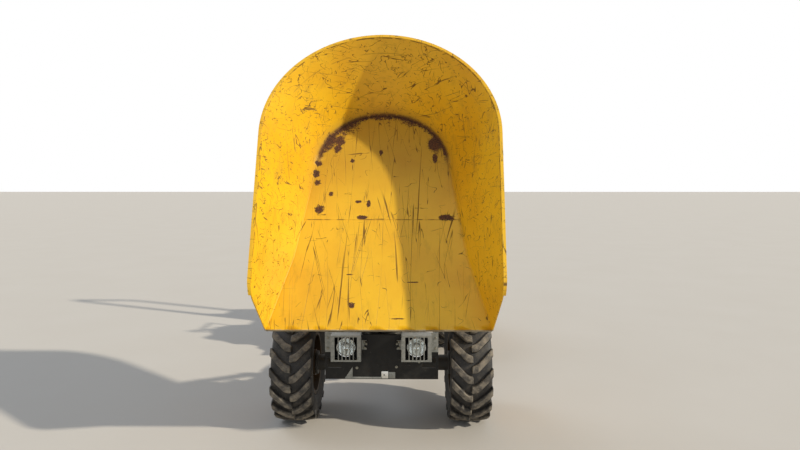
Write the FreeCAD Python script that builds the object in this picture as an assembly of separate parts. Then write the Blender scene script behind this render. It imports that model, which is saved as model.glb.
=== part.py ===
"""Articulated site dumper with a flared U-shaped skip on a swivel console.

Millimetres. +X is the machine's left, +Y its rear and +Z up. The origin lies on the ground under the
middle of the machine. The skip is tipped forward, as it stands when it has just been emptied.

Names that end in _Z are heights over the ground, and those that end in _A are distances behind the
front axle. Heights follow the tyres' radius, and places on the rear chassis follow the wheelbase.
"""
import FreeCAD, Part
import math
import os

from FreeCAD import Placement, Rotation, Vector

# Wheels and tyres
TYRE_RADIUS = 380.0
TYRE_WIDTH = 264.0
TREAD_DROP = 14.0
LUG_HEIGHT = 28.0
LUG_FLARE = 6.0
LUGS_PER_SIDE = 18
BEAD_RADIUS = 194.0
RIM_WIDTH = 229.0
RIM_WALL = 7.0
RIM_FLANGE = 18.0
RIM_WELL_DEPTH = 34.0
DISC_THICKNESS = 10.0
DISC_OUTSET = 30.0
HUB_RADIUS = 86.0
HUB_CAP_RADIUS = 56.0
HUB_CAP_LENGTH = 38.0
TRACK = 1136.0
WHEELBASE = 1850.0
AXLE_Z = TYRE_RADIUS
HALF_TRACK = TRACK / 2
TYRE_INNER_X = HALF_TRACK - TYRE_WIDTH / 2

# A lug's sections on the way from the tread's middle to its shoulder
LUG_SECTIONS = (
    # X and run round the tread as shares of half the tyre's width, half width
    (0.0, 0.0, 20.0),
    (0.26, 0.08, 24.0),
    (0.98, 0.86, 27.0),
)

# Axles
AXLE_TUBE_RADIUS = 52.0
AXLE_FLANGE_RADIUS = 78.0
AXLE_FLANGE_THICKNESS = 14.0
DIFFERENTIAL_RADIUS = 100.0
DIFFERENTIAL_NECK_RADIUS = 70.0
DIFFERENTIAL_LENGTH = 190.0
SPINDLE_RADIUS = 45.0
SPINDLE_LENGTH = 120.0
HUB_FACE_X = HALF_TRACK - 110.0
SADDLE_HALF_LENGTH = 60.0

# Clearances and small common sizes
PIN_CLEARANCE = 0.05
SEAT_GAP = 0.3
SHEET = 4.0
WELD_LAP = 2.0

# Skip, in its own frame: s runs back along the floor from the lip, n stands up from the floor
SKIP_PLATE = 6.0
FLOOR_FRONT_HALF_WIDTH = 640.0
FLOOR_KNEE_HALF_WIDTH = 525.0
FLOOR_KNEE_S = 460.0
FLOOR_ARC_CENTRE = 1160.0
FLOOR_ARC_RADIUS = 436.0
RIM_FRONT_HALF_WIDTH = 663.0
RIM_KNEE_S = 430.0
RIM_ARC_CENTRE = 1035.0
RIM_ARC_RADIUS = 711.0
RIM_FRONT_SETBACK = 80.0
RIM_FRONT_HEIGHT = 345.0
RIM_CORNER_RADIUS = 110.0
RIM_TILT = 5.5
RIM_BAND_THICKNESS = 12.0
RIM_BAND_SHARE = 0.12
LIP_BAR_DEPTH = 80.0
LIP_BAR_THICKNESS = 12.0
HINGE_S = 300.0
HINGE_N = -80.0
ROD_EYE_S = 600.0
ROD_EYE_N = -60.0
TIP_ANGLE = 55.0

# Tipping gear on the front chassis
TIP_HINGE_A = -420.0
TIP_HINGE_Z = AXLE_Z + 587.0
TIP_PIN_RADIUS = 25.0
TIP_PIN_HALF_LENGTH = 226.0
TIP_BOSS_RADIUS = 45.0
SWIVEL_A = 100.0
CYLINDER_BASE_A = 420.0
CYLINDER_BASE_Z = AXLE_Z + 355.0
CYLINDER_PIN_RADIUS = 20.0
BARREL_RADIUS = 36.0
BARREL_LENGTH = 500.0
BARREL_NECK = 56.0
ROD_RADIUS = 20.0
ROD_TAIL = 490.0
EYE_RADIUS = 36.0
EYE_HALF_WIDTH = 25.0
EYE_SIDE_GAP = 4.0
CYLINDER_EAR = 12.0
GLAND_LENGTH = 36.0
GLAND_STEP = 4.0

# Skip underframe
LONGITUDINAL_INNER_X = 144.0
LONGITUDINAL_WIDTH = 62.0
LONGITUDINAL_START = 232.0
LONGITUDINAL_END = 1330.0
LONGITUDINAL_DEPTH = 78.0
LONGITUDINAL_END_DEPTH = 28.0
CROSS_CHANNEL_DEPTH = 20.0
EAR_PAD_HALF_LENGTH = 90.0
EAR_PAD_THICKNESS = 8.0

# Front frame
FRONT_PLATE_A = -250.0
FRONT_PLATE_HALF_WIDTH = TYRE_INNER_X - 76.0
FRONT_PLATE_BOTTOM = AXLE_Z - 30.0
FRONT_PLATE_TOP = AXLE_Z + 260.0
FRONT_PLATE = 10.0
FRAME_TOP = AXLE_Z + 220.0
FRAME_PLATE = 12.0
FRAME_BOTTOM = AXLE_Z + 60.0
FRONT_FRAME_HALF_WIDTH = 162.0
WINDOW_EDGE = 15.0
WINDOW_WIDTH = 88.0
WINDOW_BOTTOM = FRONT_PLATE_BOTTOM + 73.0
WINDOW_HEIGHT = 69.0

# Swivel console
SLEW_RADIUS = 215.0
SPIGOT_RADIUS = 150.0
SPIGOT_FLOOR_GAP = 8.0
SLEW_HEIGHT = 60.0
SLEW_GROOVE = 8.0
SLEW_GROOVE_DEPTH = 6.0
CONSOLE_BASE_RADIUS = 240.0
CONSOLE_BASE_THICKNESS = 14.0
CONSOLE_BASE_Z = FRAME_TOP + SLEW_HEIGHT + SEAT_GAP
CONSOLE_NOSE_LENGTH = 140.0
CONSOLE_NOSE_HALF_WIDTH = 130.0
CONSOLE_TAIL_HALF_WIDTH = 90.0
CONSOLE_PLATE_X = 112.0
CONSOLE_PLATE = 14.0

# Articulation
PIVOT_A = WHEELBASE - 950.0
PIVOT_PIN_RADIUS = 30.0
PIVOT_HEAD_RADIUS = 46.0
PIVOT_HEAD_HEIGHT = 14.0
PIVOT_TUBE_RADIUS = 60.0
PIVOT_EYE_RADIUS = 90.0
PIVOT_LOWER_Z = FRAME_BOTTOM - 80.0
PIVOT_TUBE_GAP = 6.0
FRONT_FRAME_END_A = PIVOT_A - 260.0

# Steering cylinder
STEER_Z = AXLE_Z + 90.0
STEER_REAR_X = 290.0
STEER_REAR_A = PIVOT_A + 350.0
STEER_FRONT_X = 200.0
STEER_FRONT_A = PIVOT_A - 280.0
STEER_BARREL_RADIUS = 27.0
STEER_BARREL_LENGTH = 400.0
STEER_NECK = 50.0
STEER_ROD_RADIUS = 14.0
STEER_ROD_TAIL = 400.0
STEER_EYE_RADIUS = 24.0
STEER_EYE_HALF_WIDTH = 18.0
STEER_PIN_RADIUS = 12.0
STEER_EAR = 10.0
STEER_EAR_HALF_WIDTH = 34.0

# Headlamps and their guards
LAMP_HALF_SPACING = FRONT_PLATE_HALF_WIDTH - 140.0
LAMP_Z = FRONT_PLATE_TOP - 66.0
LAMP_RADIUS = 61.0
LAMP_RIM_DEPTH = 12.0
LAMP_FACE_A = FRONT_PLATE_A - 76.0
LAMP_STEM_RADIUS = 18.0
GUARD_HALF_WIDTH = 94.0
GUARD_BOTTOM = LAMP_Z - 86.0
GUARD_TOP = LAMP_Z + 80.0
GUARD_FRONT_A = LAMP_FACE_A - 18.0
GUARD_SHEET = 3.0
GUARD_SIDE_FLANGE = 24.0
GUARD_BOTTOM_FLANGE = 11.0
GUARD_BAR_RADIUS = 3.5
GUARD_BARS = 5
GUARD_WING = 46.0
GUARD_TAB = 30.0
GUARD_TAB_HEIGHT = 60.0
GUARD_WING_BOTTOM = GUARD_BOTTOM + 40.0

# Operator's station, from the bulkhead behind the seat forward to the steps
FENDER_GAP = 55.0
FENDER_SHEET = 4.0
FENDER_RADIUS = TYRE_RADIUS + FENDER_GAP + FENDER_SHEET
BULKHEAD_A = WHEELBASE + TYRE_RADIUS + FENDER_GAP + 35.0
SEAT_DEPTH = 340.0
SEAT_BASE_TOP = AXLE_Z + 480.0
SEAT_BASE_MARGIN = 40.0
SEAT_TOE_DEPTH = 30.0
SEAT_TOE_HEIGHT = 60.0
SEAT_A = BULKHEAD_A - SEAT_DEPTH - 60.0
SEAT_HALF_WIDTH = 230.0
CUSHION_SETBACK = 20.0
CUSHION_THICKNESS = 95.0
CUSHION_CORNER = 50.0
BACKREST_HEIGHT = 420.0
BACKREST_THICKNESS = 85.0
BACKREST_CORNER = 70.0
BACKREST_LEAN = 6.0
STEERING_WHEEL_RADIUS = 190.0
STEERING_WHEEL_TUBE = 14.0
STEERING_WHEEL_A = SEAT_A - 350.0
STEERING_WHEEL_Z = AXLE_Z + 875.0
WHEEL_HUB_RADIUS = 34.0
WHEEL_HUB_HEIGHT = 40.0
SPOKE_RADIUS = 8.0
COLUMN_ANGLE = 38.0
COLUMN_RADIUS = 21.0
COLUMN_LENGTH = 190.0
COWL_LENGTH = 70.0
DASH_FRONT_A = STEERING_WHEEL_A - 260.0
DASH_DEPTH = 130.0
DASH_HALF_WIDTH = 240.0
DASH_TOP = AXLE_Z + 740.0
PLATFORM_HALF_WIDTH = TYRE_INNER_X - 12.0
PLATFORM_FRONT_A = DASH_FRONT_A - 10.0
PLATFORM_PLATE = 8.0
STEP_HANGER = 8.0
STEP_WIDTH = 176.0
STEP_SETBACK = 70.0
STEP_TREAD = 6.0
STEP_RISER = 40.0
STEP_END_A = WHEELBASE - TYRE_RADIUS - FENDER_GAP - 15.0
STEP_FRONT_A = STEP_END_A - 250.0
STEP_HEIGHTS = (AXLE_Z - 80.0, AXLE_Z + 50.0)
LEVER_STAND_X = -330.0
LEVER_STAND_HALF_WIDTH = 45.0
LEVER_STAND_HALF_LENGTH = 90.0
LEVER_STAND_HEIGHT = 330.0
LEVER_LENGTH = 160.0
LEVER_RADIUS = 5.0
LEVER_KNOB_RADIUS = 15.0
LEVER_SPACING = 30.0
PEDAL_X = 150.0
PEDAL_WIDTH = 80.0
PEDAL_LENGTH = 110.0
PEDAL_PAD = 12.0
PEDAL_ARM_RADIUS = 8.0

# Rear frame
RAIL_OUTER_X = 170.0
RAIL_WIDTH = 60.0
RAIL_BOTTOM = AXLE_Z + 60.0
RAIL_TOP = AXLE_Z + 180.0
RAIL_FRONT_A = PIVOT_A + 180.0
CROSS_MEMBER = 60.0
ARM_DROP = 20.0
ARM_HALF_WIDTH = 50.0
CROSS_MEMBER_PLACES = (WHEELBASE - 350.0, WHEELBASE + 300.0)

# Engine bay
BULKHEAD_TOP = AXLE_Z + 740.0
HOOD_HALF_WIDTH = 380.0
HOOD_SHEET = 4.0
HOOD_BOTTOM = RAIL_TOP + 52.0
HOOD_TOP = BULKHEAD_TOP - 10.0
HOOD_FRONT_A = BULKHEAD_A + 84.0
HOOD_HINGE_A = BULKHEAD_A + 72.0
HOOD_HINGE_Z = BULKHEAD_TOP
HINGE_LUG = 10.0
HINGE_LUG_SPACING = 50.0
HINGE_LUG_X = 200.0
HINGE_EYE_RADIUS = 14.0
HINGE_PIN_RADIUS = 6.0
HINGE_SIDE_GAP = 1.0
LOUVRES = 6
LOUVRE_PITCH = 44.0
LOUVRE_HEIGHT = 16.0
LOUVRE_HALF_WIDTH = 240.0
ENGINE_HALF_WIDTH = 240.0
ENGINE_FRONT_A = HOOD_FRONT_A + 26.0
ENGINE_END_A = ENGINE_FRONT_A + 310.0
ENGINE_TOP = AXLE_Z + 620.0
HOOD_END_A = ENGINE_END_A + 70.0
RAIL_END_A = HOOD_END_A - 30.0
REAR_END_A = HOOD_END_A + 70.0

# Roll hoop
HOOP_A = BULKHEAD_A + 36.0
HOOP_HALF_SPAN = 430.0
HOOP_TUBE = 60.0
HOOP_WALL = 5.0
HOOP_HINGE_Z = AXLE_Z + 920.0
HOOP_TOP = HOOP_HINGE_Z + 1350.0
HOOP_CORNER = 130.0
HOOP_PIN_RADIUS = 10.0
HOOP_CHEEK = 8.0
HOOP_CHEEK_GAP = 4.0
HOOP_CHEEK_DROP = 140.0
HOOP_CHEEK_RISE = 40.0

# Fenders
FENDER_OUTER_X = HALF_TRACK + TYRE_WIDTH / 2 + 6.0
FENDER_INNER_X = PLATFORM_HALF_WIDTH
FENDER_REACH_SHARE = 0.94
RAIL_RISE = 255.0
RAIL_TUBE_RADIUS = 13.0
RAIL_FOOT_AHEAD = 120.0
RAIL_FOOT_BEHIND = 160.0

# Fuel tank and muffler
TANK_BOTTOM = AXLE_Z - 50.0
TANK_HEIGHT = 160.0
TANK_CORNER = 30.0
TANK_NECK_RADIUS = 32.0
TANK_NECK_HEIGHT = 35.0
TANK_NECK_SETBACK = 60.0
MUFFLER_X = -250.0
MUFFLER_Z = AXLE_Z + 120.0
MUFFLER_RADIUS = 52.0
TAIL_PIPE_RADIUS = 22.0
MUFFLER_STRAP = 30.0

# Rear weight, tow clevis and lashing lugs
WEIGHT_HALF_WIDTH = 400.0
WEIGHT_BOTTOM = RAIL_BOTTOM - 30.0
WEIGHT_HEIGHT = 190.0
WEIGHT_CORNER = 40.0
WEIGHT_END_A = REAR_END_A - 40.0
PIPE_GAP_HALF_WIDTH = 50.0
REAR_LAMP_WIDTH = 74.0
REAR_LAMP_HEIGHT = 60.0
REAR_LAMP_DEPTH = 34.0
CLEVIS_BORE_RADIUS = 12.5
CLEVIS_BORE_SETBACK = 24.0
CLEVIS_JAW = 16.0
CLEVIS_LOWER_Z = WEIGHT_BOTTOM + 26.0
CLEVIS_MOUTH = 44.0
CLEVIS_HALF_WIDTH = 55.0
LUG_PLATE = 14.0
LUG_BORE_RADIUS = 15.0
LUG_REACH = 48.0
LUG_HALF_LENGTH = 34.0
LUG_BORE_EDGE = 24.0
FRONT_LUG_A = FRONT_FRAME_END_A - 140.0
FRONT_LUG_Z = FRAME_TOP - 60.0
REAR_LUG_Z = WEIGHT_BOTTOM + 90.0

SIDES = {"left": 1, "right": -1}


def blend(start, end, share):
    """Return the value a share of the way from start to end."""
    return start + (end - start) * share


def tipped(s, n):
    """Turn a place on the skip by its tip angle, as (rearward, upward)."""
    angle = math.radians(TIP_ANGLE)
    return s * math.cos(angle) - n * math.sin(angle), s * math.sin(angle) + n * math.cos(angle)


def rim_corner():
    """Return the rounded front corner of the skip's rim, seen from its side.

    The result is the corner's tangent points on the front edge and on the rim, its centre, and the
    middle of its arc, each as (s, n).
    """
    length = math.hypot(RIM_FRONT_SETBACK, RIM_FRONT_HEIGHT)
    up = (RIM_FRONT_SETBACK / length, RIM_FRONT_HEIGHT / length)
    back = (math.cos(math.radians(RIM_TILT)), math.sin(math.radians(RIM_TILT)))
    half_angle = math.acos(-up[0] * back[0] - up[1] * back[1]) / 2
    run = RIM_CORNER_RADIUS / math.tan(half_angle)
    inward = [(b - u) / (2 * math.cos(half_angle)) for b, u in zip(back, up)]
    corner = (RIM_FRONT_SETBACK, RIM_FRONT_HEIGHT)
    on_front = [c - u * run for c, u in zip(corner, up)]
    on_rim = [c + b * run for c, b in zip(corner, back)]
    centre = [c + i * RIM_CORNER_RADIUS / math.sin(half_angle) for c, i in zip(corner, inward)]
    middle = [c - i * RIM_CORNER_RADIUS for c, i in zip(centre, inward)]
    return on_front, on_rim, centre, middle


LIP_A = TIP_HINGE_A - tipped(HINGE_S, HINGE_N)[0]
LIP_Z = TIP_HINGE_Z - tipped(HINGE_S, HINGE_N)[1]
SKIP_FRONT_A = LIP_A + tipped(*rim_corner()[2])[0] - RIM_CORNER_RADIUS

# The origin is midway between the skip's foremost corner and the rear end
FRONT_AXLE_Y = -(SKIP_FRONT_A + REAR_END_A) / 2


def at(distance):
    """Return the Y of a place that lies this far behind the front axle."""
    return FRONT_AXLE_Y + distance


REAR_AXLE_Y = at(WHEELBASE)


def box(x, y, z):
    """Return a block between the low and high value on each axis."""
    corner = Vector(x[0], y[0], z[0])
    return Part.makeBox(x[1] - x[0], y[1] - y[0], z[1] - z[0], corner)


def rod(start, end, radius):
    """Return a round bar between two points."""
    start, end = Vector(*start), Vector(*end)
    return Part.makeCylinder(radius, (end - start).Length, start, end - start)


def crossbar(x, y, z, radius):
    """Return a round bar along X between two values of X."""
    return rod((x[0], y, z), (x[1], y, z), radius)


def prism(points, along):
    """Return the polygon through the points, swept along a vector."""
    corners = [Vector(*point) for point in points]
    face = Part.Face(Part.makePolygon(corners + corners[:1]))
    return face.extrude(Vector(*along))


def side_plate(outline, x, thickness):
    """Return a plate whose outline of (Y, Z) points stands at x, thickening outwards."""
    return prism([(x, y, z) for y, z in outline], (thickness, 0, 0))


def flat_plate(outline, z, thickness):
    """Return a level plate whose outline of (X, Y) points lies at z."""
    return prism([(x, y, z) for x, y in outline], (0, 0, thickness))


def symmetric(half_outline):
    """Return the closed outline of (X, Y) points whose left half is given from front to rear."""
    return half_outline + [(-x, y) for x, y in reversed(half_outline)]


def fused(shapes):
    """Return one solid from shapes that meet."""
    first, *others = shapes
    return first.fuse(others).removeSplitter() if others else first


def mirrored(shape):
    """Return the shape's counterpart on the machine's other side."""
    return shape.mirror(Vector(0, 0, 0), Vector(1, 0, 0))


def both_sides(shape):
    """Return the shape and its counterpart on the machine's other side."""
    return [shape, mirrored(shape)]


def revolved(profile, centre):
    """Return a ring about the X axis through the centre, from (X, radius) points and arcs' middles.

    Each profile item is a point, or a pair of points: the middle and the end of an arc.
    """
    edges = []
    place = [Vector(x, 0, radius) for x, radius in profile[0]]
    current = place[0]
    for item in profile[1:]:
        points = [Vector(x, 0, radius) for x, radius in item]
        if len(points) == 1:
            edges.append(Part.LineSegment(current, points[0]).toShape())
        else:
            edges.append(Part.Arc(current, points[0], points[1]).toShape())
        current = points[-1]
    edges.append(Part.LineSegment(current, place[0]).toShape())
    ring = Part.Face(Part.Wire(edges)).revolve(Vector(0, 0, 0), Vector(1, 0, 0), 360)
    ring.translate(Vector(*centre))
    return ring


def tangent_point(x, s, centre, radius):
    """Return where the straight side from a point runs into the skip's rear arc, as (X, s)."""
    reach = math.hypot(x, centre - s)
    turn = math.atan2(s - centre, x) + math.acos(radius / reach)
    return radius * math.cos(turn), centre + radius * math.sin(turn)


def skip_outline(level, offset=0.0, ahead=0.0):
    """Return the skip's closed U outline at a level from the floor (0) to the rim (1).

    The outline is grown outwards by the offset, and its open front is moved ahead by a distance. The
    floor's sides turn in at a knee, and the rim's sides run straight through it.
    """
    rim_x, rim_s = tangent_point(RIM_FRONT_HALF_WIDTH, 0, RIM_ARC_CENTRE, RIM_ARC_RADIUS)
    rim_knee_x = blend(RIM_FRONT_HALF_WIDTH, rim_x, RIM_KNEE_S / rim_s)
    front_x = blend(FLOOR_FRONT_HALF_WIDTH, RIM_FRONT_HALF_WIDTH, level) + offset
    knee_x = blend(FLOOR_KNEE_HALF_WIDTH, rim_knee_x, level) + offset
    knee_s = blend(FLOOR_KNEE_S, RIM_KNEE_S, level)
    centre = blend(FLOOR_ARC_CENTRE, RIM_ARC_CENTRE, level)
    radius = blend(FLOOR_ARC_RADIUS, RIM_ARC_RADIUS, level) + offset
    rear_x, rear_s = tangent_point(knee_x, knee_s, centre, radius)
    stretch = ahead / math.hypot(front_x - knee_x, knee_s)
    tilt = math.radians(blend(0.0, RIM_TILT, level))

    def place(x, s):
        return Vector(x, RIM_FRONT_SETBACK * level + s * math.cos(tilt),
                      RIM_FRONT_HEIGHT * level + s * math.sin(tilt))

    left = [place(front_x + (front_x - knee_x) * stretch, -knee_s * stretch), place(knee_x, knee_s),
            place(rear_x, rear_s)]
    right = [Vector(-point.x, point.y, point.z) for point in reversed(left)]
    edges = [Part.LineSegment(start, end).toShape() for start, end in zip(left, left[1:])]
    edges.append(Part.Arc(left[-1], place(0, centre + radius), right[0]).toShape())
    edges += [Part.LineSegment(start, end).toShape() for start, end in zip(right, right[1:])]
    edges.append(Part.LineSegment(right[-1], left[0]).toShape())
    return Part.Wire(edges)


def lofted(sections):
    """Return the straight-sided solid through outlines."""
    return Part.makeLoft(sections, True, True)


def placed_skip(shape):
    """Set a shape from the skip's own frame into the machine, at its tip angle."""
    shape.Placement = Placement(Vector(0, at(LIP_A), LIP_Z), Rotation(Vector(1, 0, 0), TIP_ANGLE))
    return shape


def rim_corner_waste():
    """Return the block that rounding the rim's front corners takes off, across the whole skip."""
    on_front, on_rim, _, middle = rim_corner()
    spare = RIM_CORNER_RADIUS
    half_width = RIM_ARC_RADIUS + spare
    corners = [(s, n) for s, n in (on_front, middle, on_rim)]
    corners += [(on_rim[0], on_rim[1] + spare), (on_front[0] - spare, on_rim[1] + spare),
                (on_front[0] - spare, on_front[1])]
    points = [Vector(-half_width, s, n) for s, n in corners]
    edges = [Part.Arc(*points[:3]).toShape()]
    edges += [Part.LineSegment(start, end).toShape()
              for start, end in zip(points[2:], points[3:] + points[:1])]
    return Part.Face(Part.Wire(edges)).extrude(Vector(2 * half_width, 0, 0))


def skip_shell():
    """Return the hollow flared U of the skip with its rim band and lip bar."""
    above, ahead = 1.1, 60.0
    underside = skip_outline(0, SKIP_PLATE)
    underside.translate(Vector(0, 0, -SKIP_PLATE))
    body = lofted([underside, skip_outline(1, SKIP_PLATE)])
    hollow = lofted([skip_outline(0, ahead=ahead), skip_outline(above, ahead=ahead)])
    grown = SKIP_PLATE + RIM_BAND_THICKNESS
    band = lofted([skip_outline(1 - RIM_BAND_SHARE, grown), skip_outline(1, grown)])
    inside = [skip_outline(level, SKIP_PLATE / 2, ahead) for level in (1 - 2 * RIM_BAND_SHARE, above)]
    narrowing = (FLOOR_FRONT_HALF_WIDTH - FLOOR_KNEE_HALF_WIDTH) / FLOOR_KNEE_S
    bar_outline = symmetric([(FLOOR_FRONT_HALF_WIDTH, 0),
                             (FLOOR_FRONT_HALF_WIDTH - LIP_BAR_DEPTH * narrowing, LIP_BAR_DEPTH)])
    lip_bar = flat_plate(bar_outline, -SKIP_PLATE - LIP_BAR_THICKNESS, LIP_BAR_THICKNESS)
    shell = fused([body.cut(hollow), band.cut(lofted(inside)), lip_bar])
    return placed_skip(shell.cut(rim_corner_waste()))


def skip_underframe():
    """Return the skip's longitudinals with hinge bosses, cross channels and rod ears."""
    under, overlap = -SKIP_PLATE, 5.0
    outline = [
        (LONGITUDINAL_START, under), (LONGITUDINAL_END, under),
        (LONGITUDINAL_END, under - LONGITUDINAL_END_DEPTH),
        (ROD_EYE_S, under - LONGITUDINAL_DEPTH), (LONGITUDINAL_START + 30, under - LONGITUDINAL_DEPTH),
        (LONGITUDINAL_START, under - LONGITUDINAL_DEPTH / 2),
    ]
    outer_x = LONGITUDINAL_INNER_X + LONGITUDINAL_WIDTH
    longitudinal = side_plate(outline, LONGITUDINAL_INNER_X, LONGITUDINAL_WIDTH)
    boss = crossbar((LONGITUDINAL_INNER_X, outer_x), HINGE_S, HINGE_N, TIP_BOSS_RADIUS)
    pieces = both_sides(longitudinal.fuse(boss))
    reach = LONGITUDINAL_INNER_X + overlap
    for s, half_length, depth in ((ROD_EYE_S, EAR_PAD_HALF_LENGTH, EAR_PAD_THICKNESS),
                                  (LONGITUDINAL_END - 40, 40, CROSS_CHANNEL_DEPTH)):
        pieces.append(box((-reach, reach), (s - half_length, s + half_length), (under - depth, under)))
    ear_inner = EYE_HALF_WIDTH + 2 * EYE_SIDE_GAP
    ear_outer = ear_inner + CYLINDER_EAR
    ear = side_plate([(ROD_EYE_S - 40, under - overlap), (ROD_EYE_S + 40, under - overlap),
                      (ROD_EYE_S + 30, ROD_EYE_N), (ROD_EYE_S - 30, ROD_EYE_N)],
                     ear_inner, CYLINDER_EAR)
    ear = ear.fuse(crossbar((ear_inner, ear_outer), ROD_EYE_S, ROD_EYE_N, EYE_RADIUS - EYE_SIDE_GAP))
    stub = crossbar((EYE_HALF_WIDTH + EYE_SIDE_GAP, ear_outer + 2 * EYE_SIDE_GAP), ROD_EYE_S, ROD_EYE_N,
                    CYLINDER_PIN_RADIUS)
    pieces += both_sides(ear.fuse(stub))
    bore = crossbar((-outer_x - overlap, outer_x + overlap), HINGE_S, HINGE_N,
                    TIP_PIN_RADIUS + PIN_CLEARANCE)
    return placed_skip(fused(pieces).cut(bore))


def tip_hinge_pin():
    """Return the pin that the skip tips on."""
    return crossbar((-TIP_PIN_HALF_LENGTH, TIP_PIN_HALF_LENGTH), at(TIP_HINGE_A), TIP_HINGE_Z,
                    TIP_PIN_RADIUS)


def swivel_console():
    """Return the turntable with the two side plates that carry the skip's hinge."""
    base_z, deck_z = CONSOLE_BASE_Z, CONSOLE_BASE_Z + CONSOLE_BASE_THICKNESS
    centre_y, hinge_y, base_y = at(SWIVEL_A), at(TIP_HINGE_A), at(CYLINDER_BASE_A)
    nose_y = centre_y - CONSOLE_BASE_RADIUS - CONSOLE_NOSE_LENGTH
    base = Part.makeCylinder(CONSOLE_BASE_RADIUS, CONSOLE_BASE_THICKNESS, Vector(0, centre_y, base_z))
    tail = flat_plate(symmetric([(CONSOLE_TAIL_HALF_WIDTH, centre_y),
                                 (CONSOLE_TAIL_HALF_WIDTH - 20, base_y + 40)]),
                      base_z, CONSOLE_BASE_THICKNESS)
    nose = flat_plate(symmetric([(CONSOLE_NOSE_HALF_WIDTH, nose_y), (CONSOLE_NOSE_HALF_WIDTH, centre_y)]),
                      base_z, CONSOLE_BASE_THICKNESS)
    spigot = Part.makeCylinder(SPIGOT_RADIUS, deck_z - FRAME_TOP - SPIGOT_FLOOR_GAP,
                               Vector(0, centre_y, FRAME_TOP + SPIGOT_FLOOR_GAP))
    outline = [
        (nose_y, deck_z), (centre_y + 200, deck_z), (centre_y + 190, deck_z + 60),
        (centre_y - 40, deck_z + 150), (hinge_y + 60, TIP_HINGE_Z + 26), (hinge_y, TIP_HINGE_Z + 40),
        (hinge_y - 38, TIP_HINGE_Z), (hinge_y - 20, TIP_HINGE_Z - 60), (nose_y, deck_z + 125),
    ]
    plate = side_plate(outline, CONSOLE_PLATE_X, CONSOLE_PLATE)
    boss = crossbar((CONSOLE_PLATE_X - 8, LONGITUDINAL_INNER_X - 6), hinge_y, TIP_HINGE_Z, TIP_BOSS_RADIUS)
    tie = box((-CONSOLE_PLATE_X - WELD_LAP, CONSOLE_PLATE_X + WELD_LAP), (hinge_y + 40, hinge_y + 52),
              (TIP_HINGE_Z - 130, TIP_HINGE_Z - 20))
    ear_inner = EYE_HALF_WIDTH + EYE_SIDE_GAP
    ear_outer = ear_inner + CYLINDER_EAR
    ear = side_plate([(base_y - 50, deck_z - WELD_LAP), (base_y + 40, deck_z - WELD_LAP),
                      (base_y + 30, CYLINDER_BASE_Z), (base_y - 34, CYLINDER_BASE_Z)],
                     ear_inner, CYLINDER_EAR)
    ear = ear.fuse(crossbar((ear_inner, ear_outer), base_y, CYLINDER_BASE_Z, EYE_RADIUS))
    pin = crossbar((-ear_outer - 6, ear_outer + 6), base_y, CYLINDER_BASE_Z, CYLINDER_PIN_RADIUS)
    bore = crossbar((-2 * CONSOLE_PLATE_X, 2 * CONSOLE_PLATE_X), hinge_y, TIP_HINGE_Z,
                    TIP_PIN_RADIUS + PIN_CLEARANCE)
    solid = fused([base, tail, nose, spigot, tie, pin] + both_sides(plate.fuse(boss)) + both_sides(ear))
    return solid.cut(bore)


def slew_ring():
    """Return the fixed race that the console turns in."""
    centre = Vector(0, at(SWIVEL_A), FRAME_TOP)
    groove_foot = centre + Vector(0, 0, (SLEW_HEIGHT - SLEW_GROOVE) / 2)
    race = Part.makeCylinder(SLEW_RADIUS, SLEW_HEIGHT, centre)
    groove = Part.makeCylinder(SLEW_RADIUS + SLEW_GROOVE_DEPTH, SLEW_GROOVE, groove_foot)
    groove = groove.cut(Part.makeCylinder(SLEW_RADIUS - SLEW_GROOVE_DEPTH, SLEW_GROOVE, groove_foot))
    return race.cut([Part.makeCylinder(SPIGOT_RADIUS + PIN_CLEARANCE, SLEW_HEIGHT, centre), groove])


def cylinder_barrel(base, tip, radius, length, neck, bore, eye_radius, eye_half_width, pin_radius, across):
    """Return a hydraulic barrel on its base eye's neck, pointing from its base to its rod's eye."""
    base, tip, across = Vector(*base), Vector(*tip), Vector(*across)
    axis = (tip - base).normalize()
    body = Part.makeCylinder(radius, length - neck, base + axis * neck, axis)
    throat = Part.makeCylinder(eye_half_width - 1, neck - eye_radius / 2, base + axis * eye_radius / 2, axis)
    gland = Part.makeCylinder(radius + GLAND_STEP, GLAND_LENGTH, base + axis * (length - GLAND_LENGTH), axis)
    eye = Part.makeCylinder(eye_radius, eye_half_width * 2, base - across * eye_half_width, across)
    hole = Part.makeCylinder(pin_radius + PIN_CLEARANCE, eye_half_width * 4,
                             base - across * eye_half_width * 2, across)
    well = Part.makeCylinder(bore, length, base + axis * (neck + 10), axis)
    return fused([body, throat, gland, eye]).cut([hole, well])


def cylinder_rod(base, tip, radius, tail, eye_radius, eye_half_width, pin_radius, across):
    """Return a piston rod with its eye, lying in the barrel that starts at the base."""
    base, tip, across = Vector(*base), Vector(*tip), Vector(*across)
    axis = (base - tip).normalize()
    shaft = Part.makeCylinder(radius, tail, tip, axis)
    eye = Part.makeCylinder(eye_radius, eye_half_width * 2, tip - across * eye_half_width, across)
    hole = Part.makeCylinder(pin_radius + 1, eye_half_width * 4, tip - across * eye_half_width * 2, across)
    return shaft.fuse(eye).removeSplitter().cut(hole)


def tip_cylinder_ends():
    """Return the tipping cylinder's base and rod eye centres."""
    rearward, upward = tipped(ROD_EYE_S - HINGE_S, ROD_EYE_N - HINGE_N)
    return ((0, at(CYLINDER_BASE_A), CYLINDER_BASE_Z),
            (0, at(TIP_HINGE_A) + rearward, TIP_HINGE_Z + upward))


def tip_cylinder_barrel():
    """Return the tipping cylinder's barrel."""
    return cylinder_barrel(*tip_cylinder_ends(), BARREL_RADIUS, BARREL_LENGTH, BARREL_NECK,
                           ROD_RADIUS + PIN_CLEARANCE, EYE_RADIUS, EYE_HALF_WIDTH, CYLINDER_PIN_RADIUS,
                           (1, 0, 0))


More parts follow.
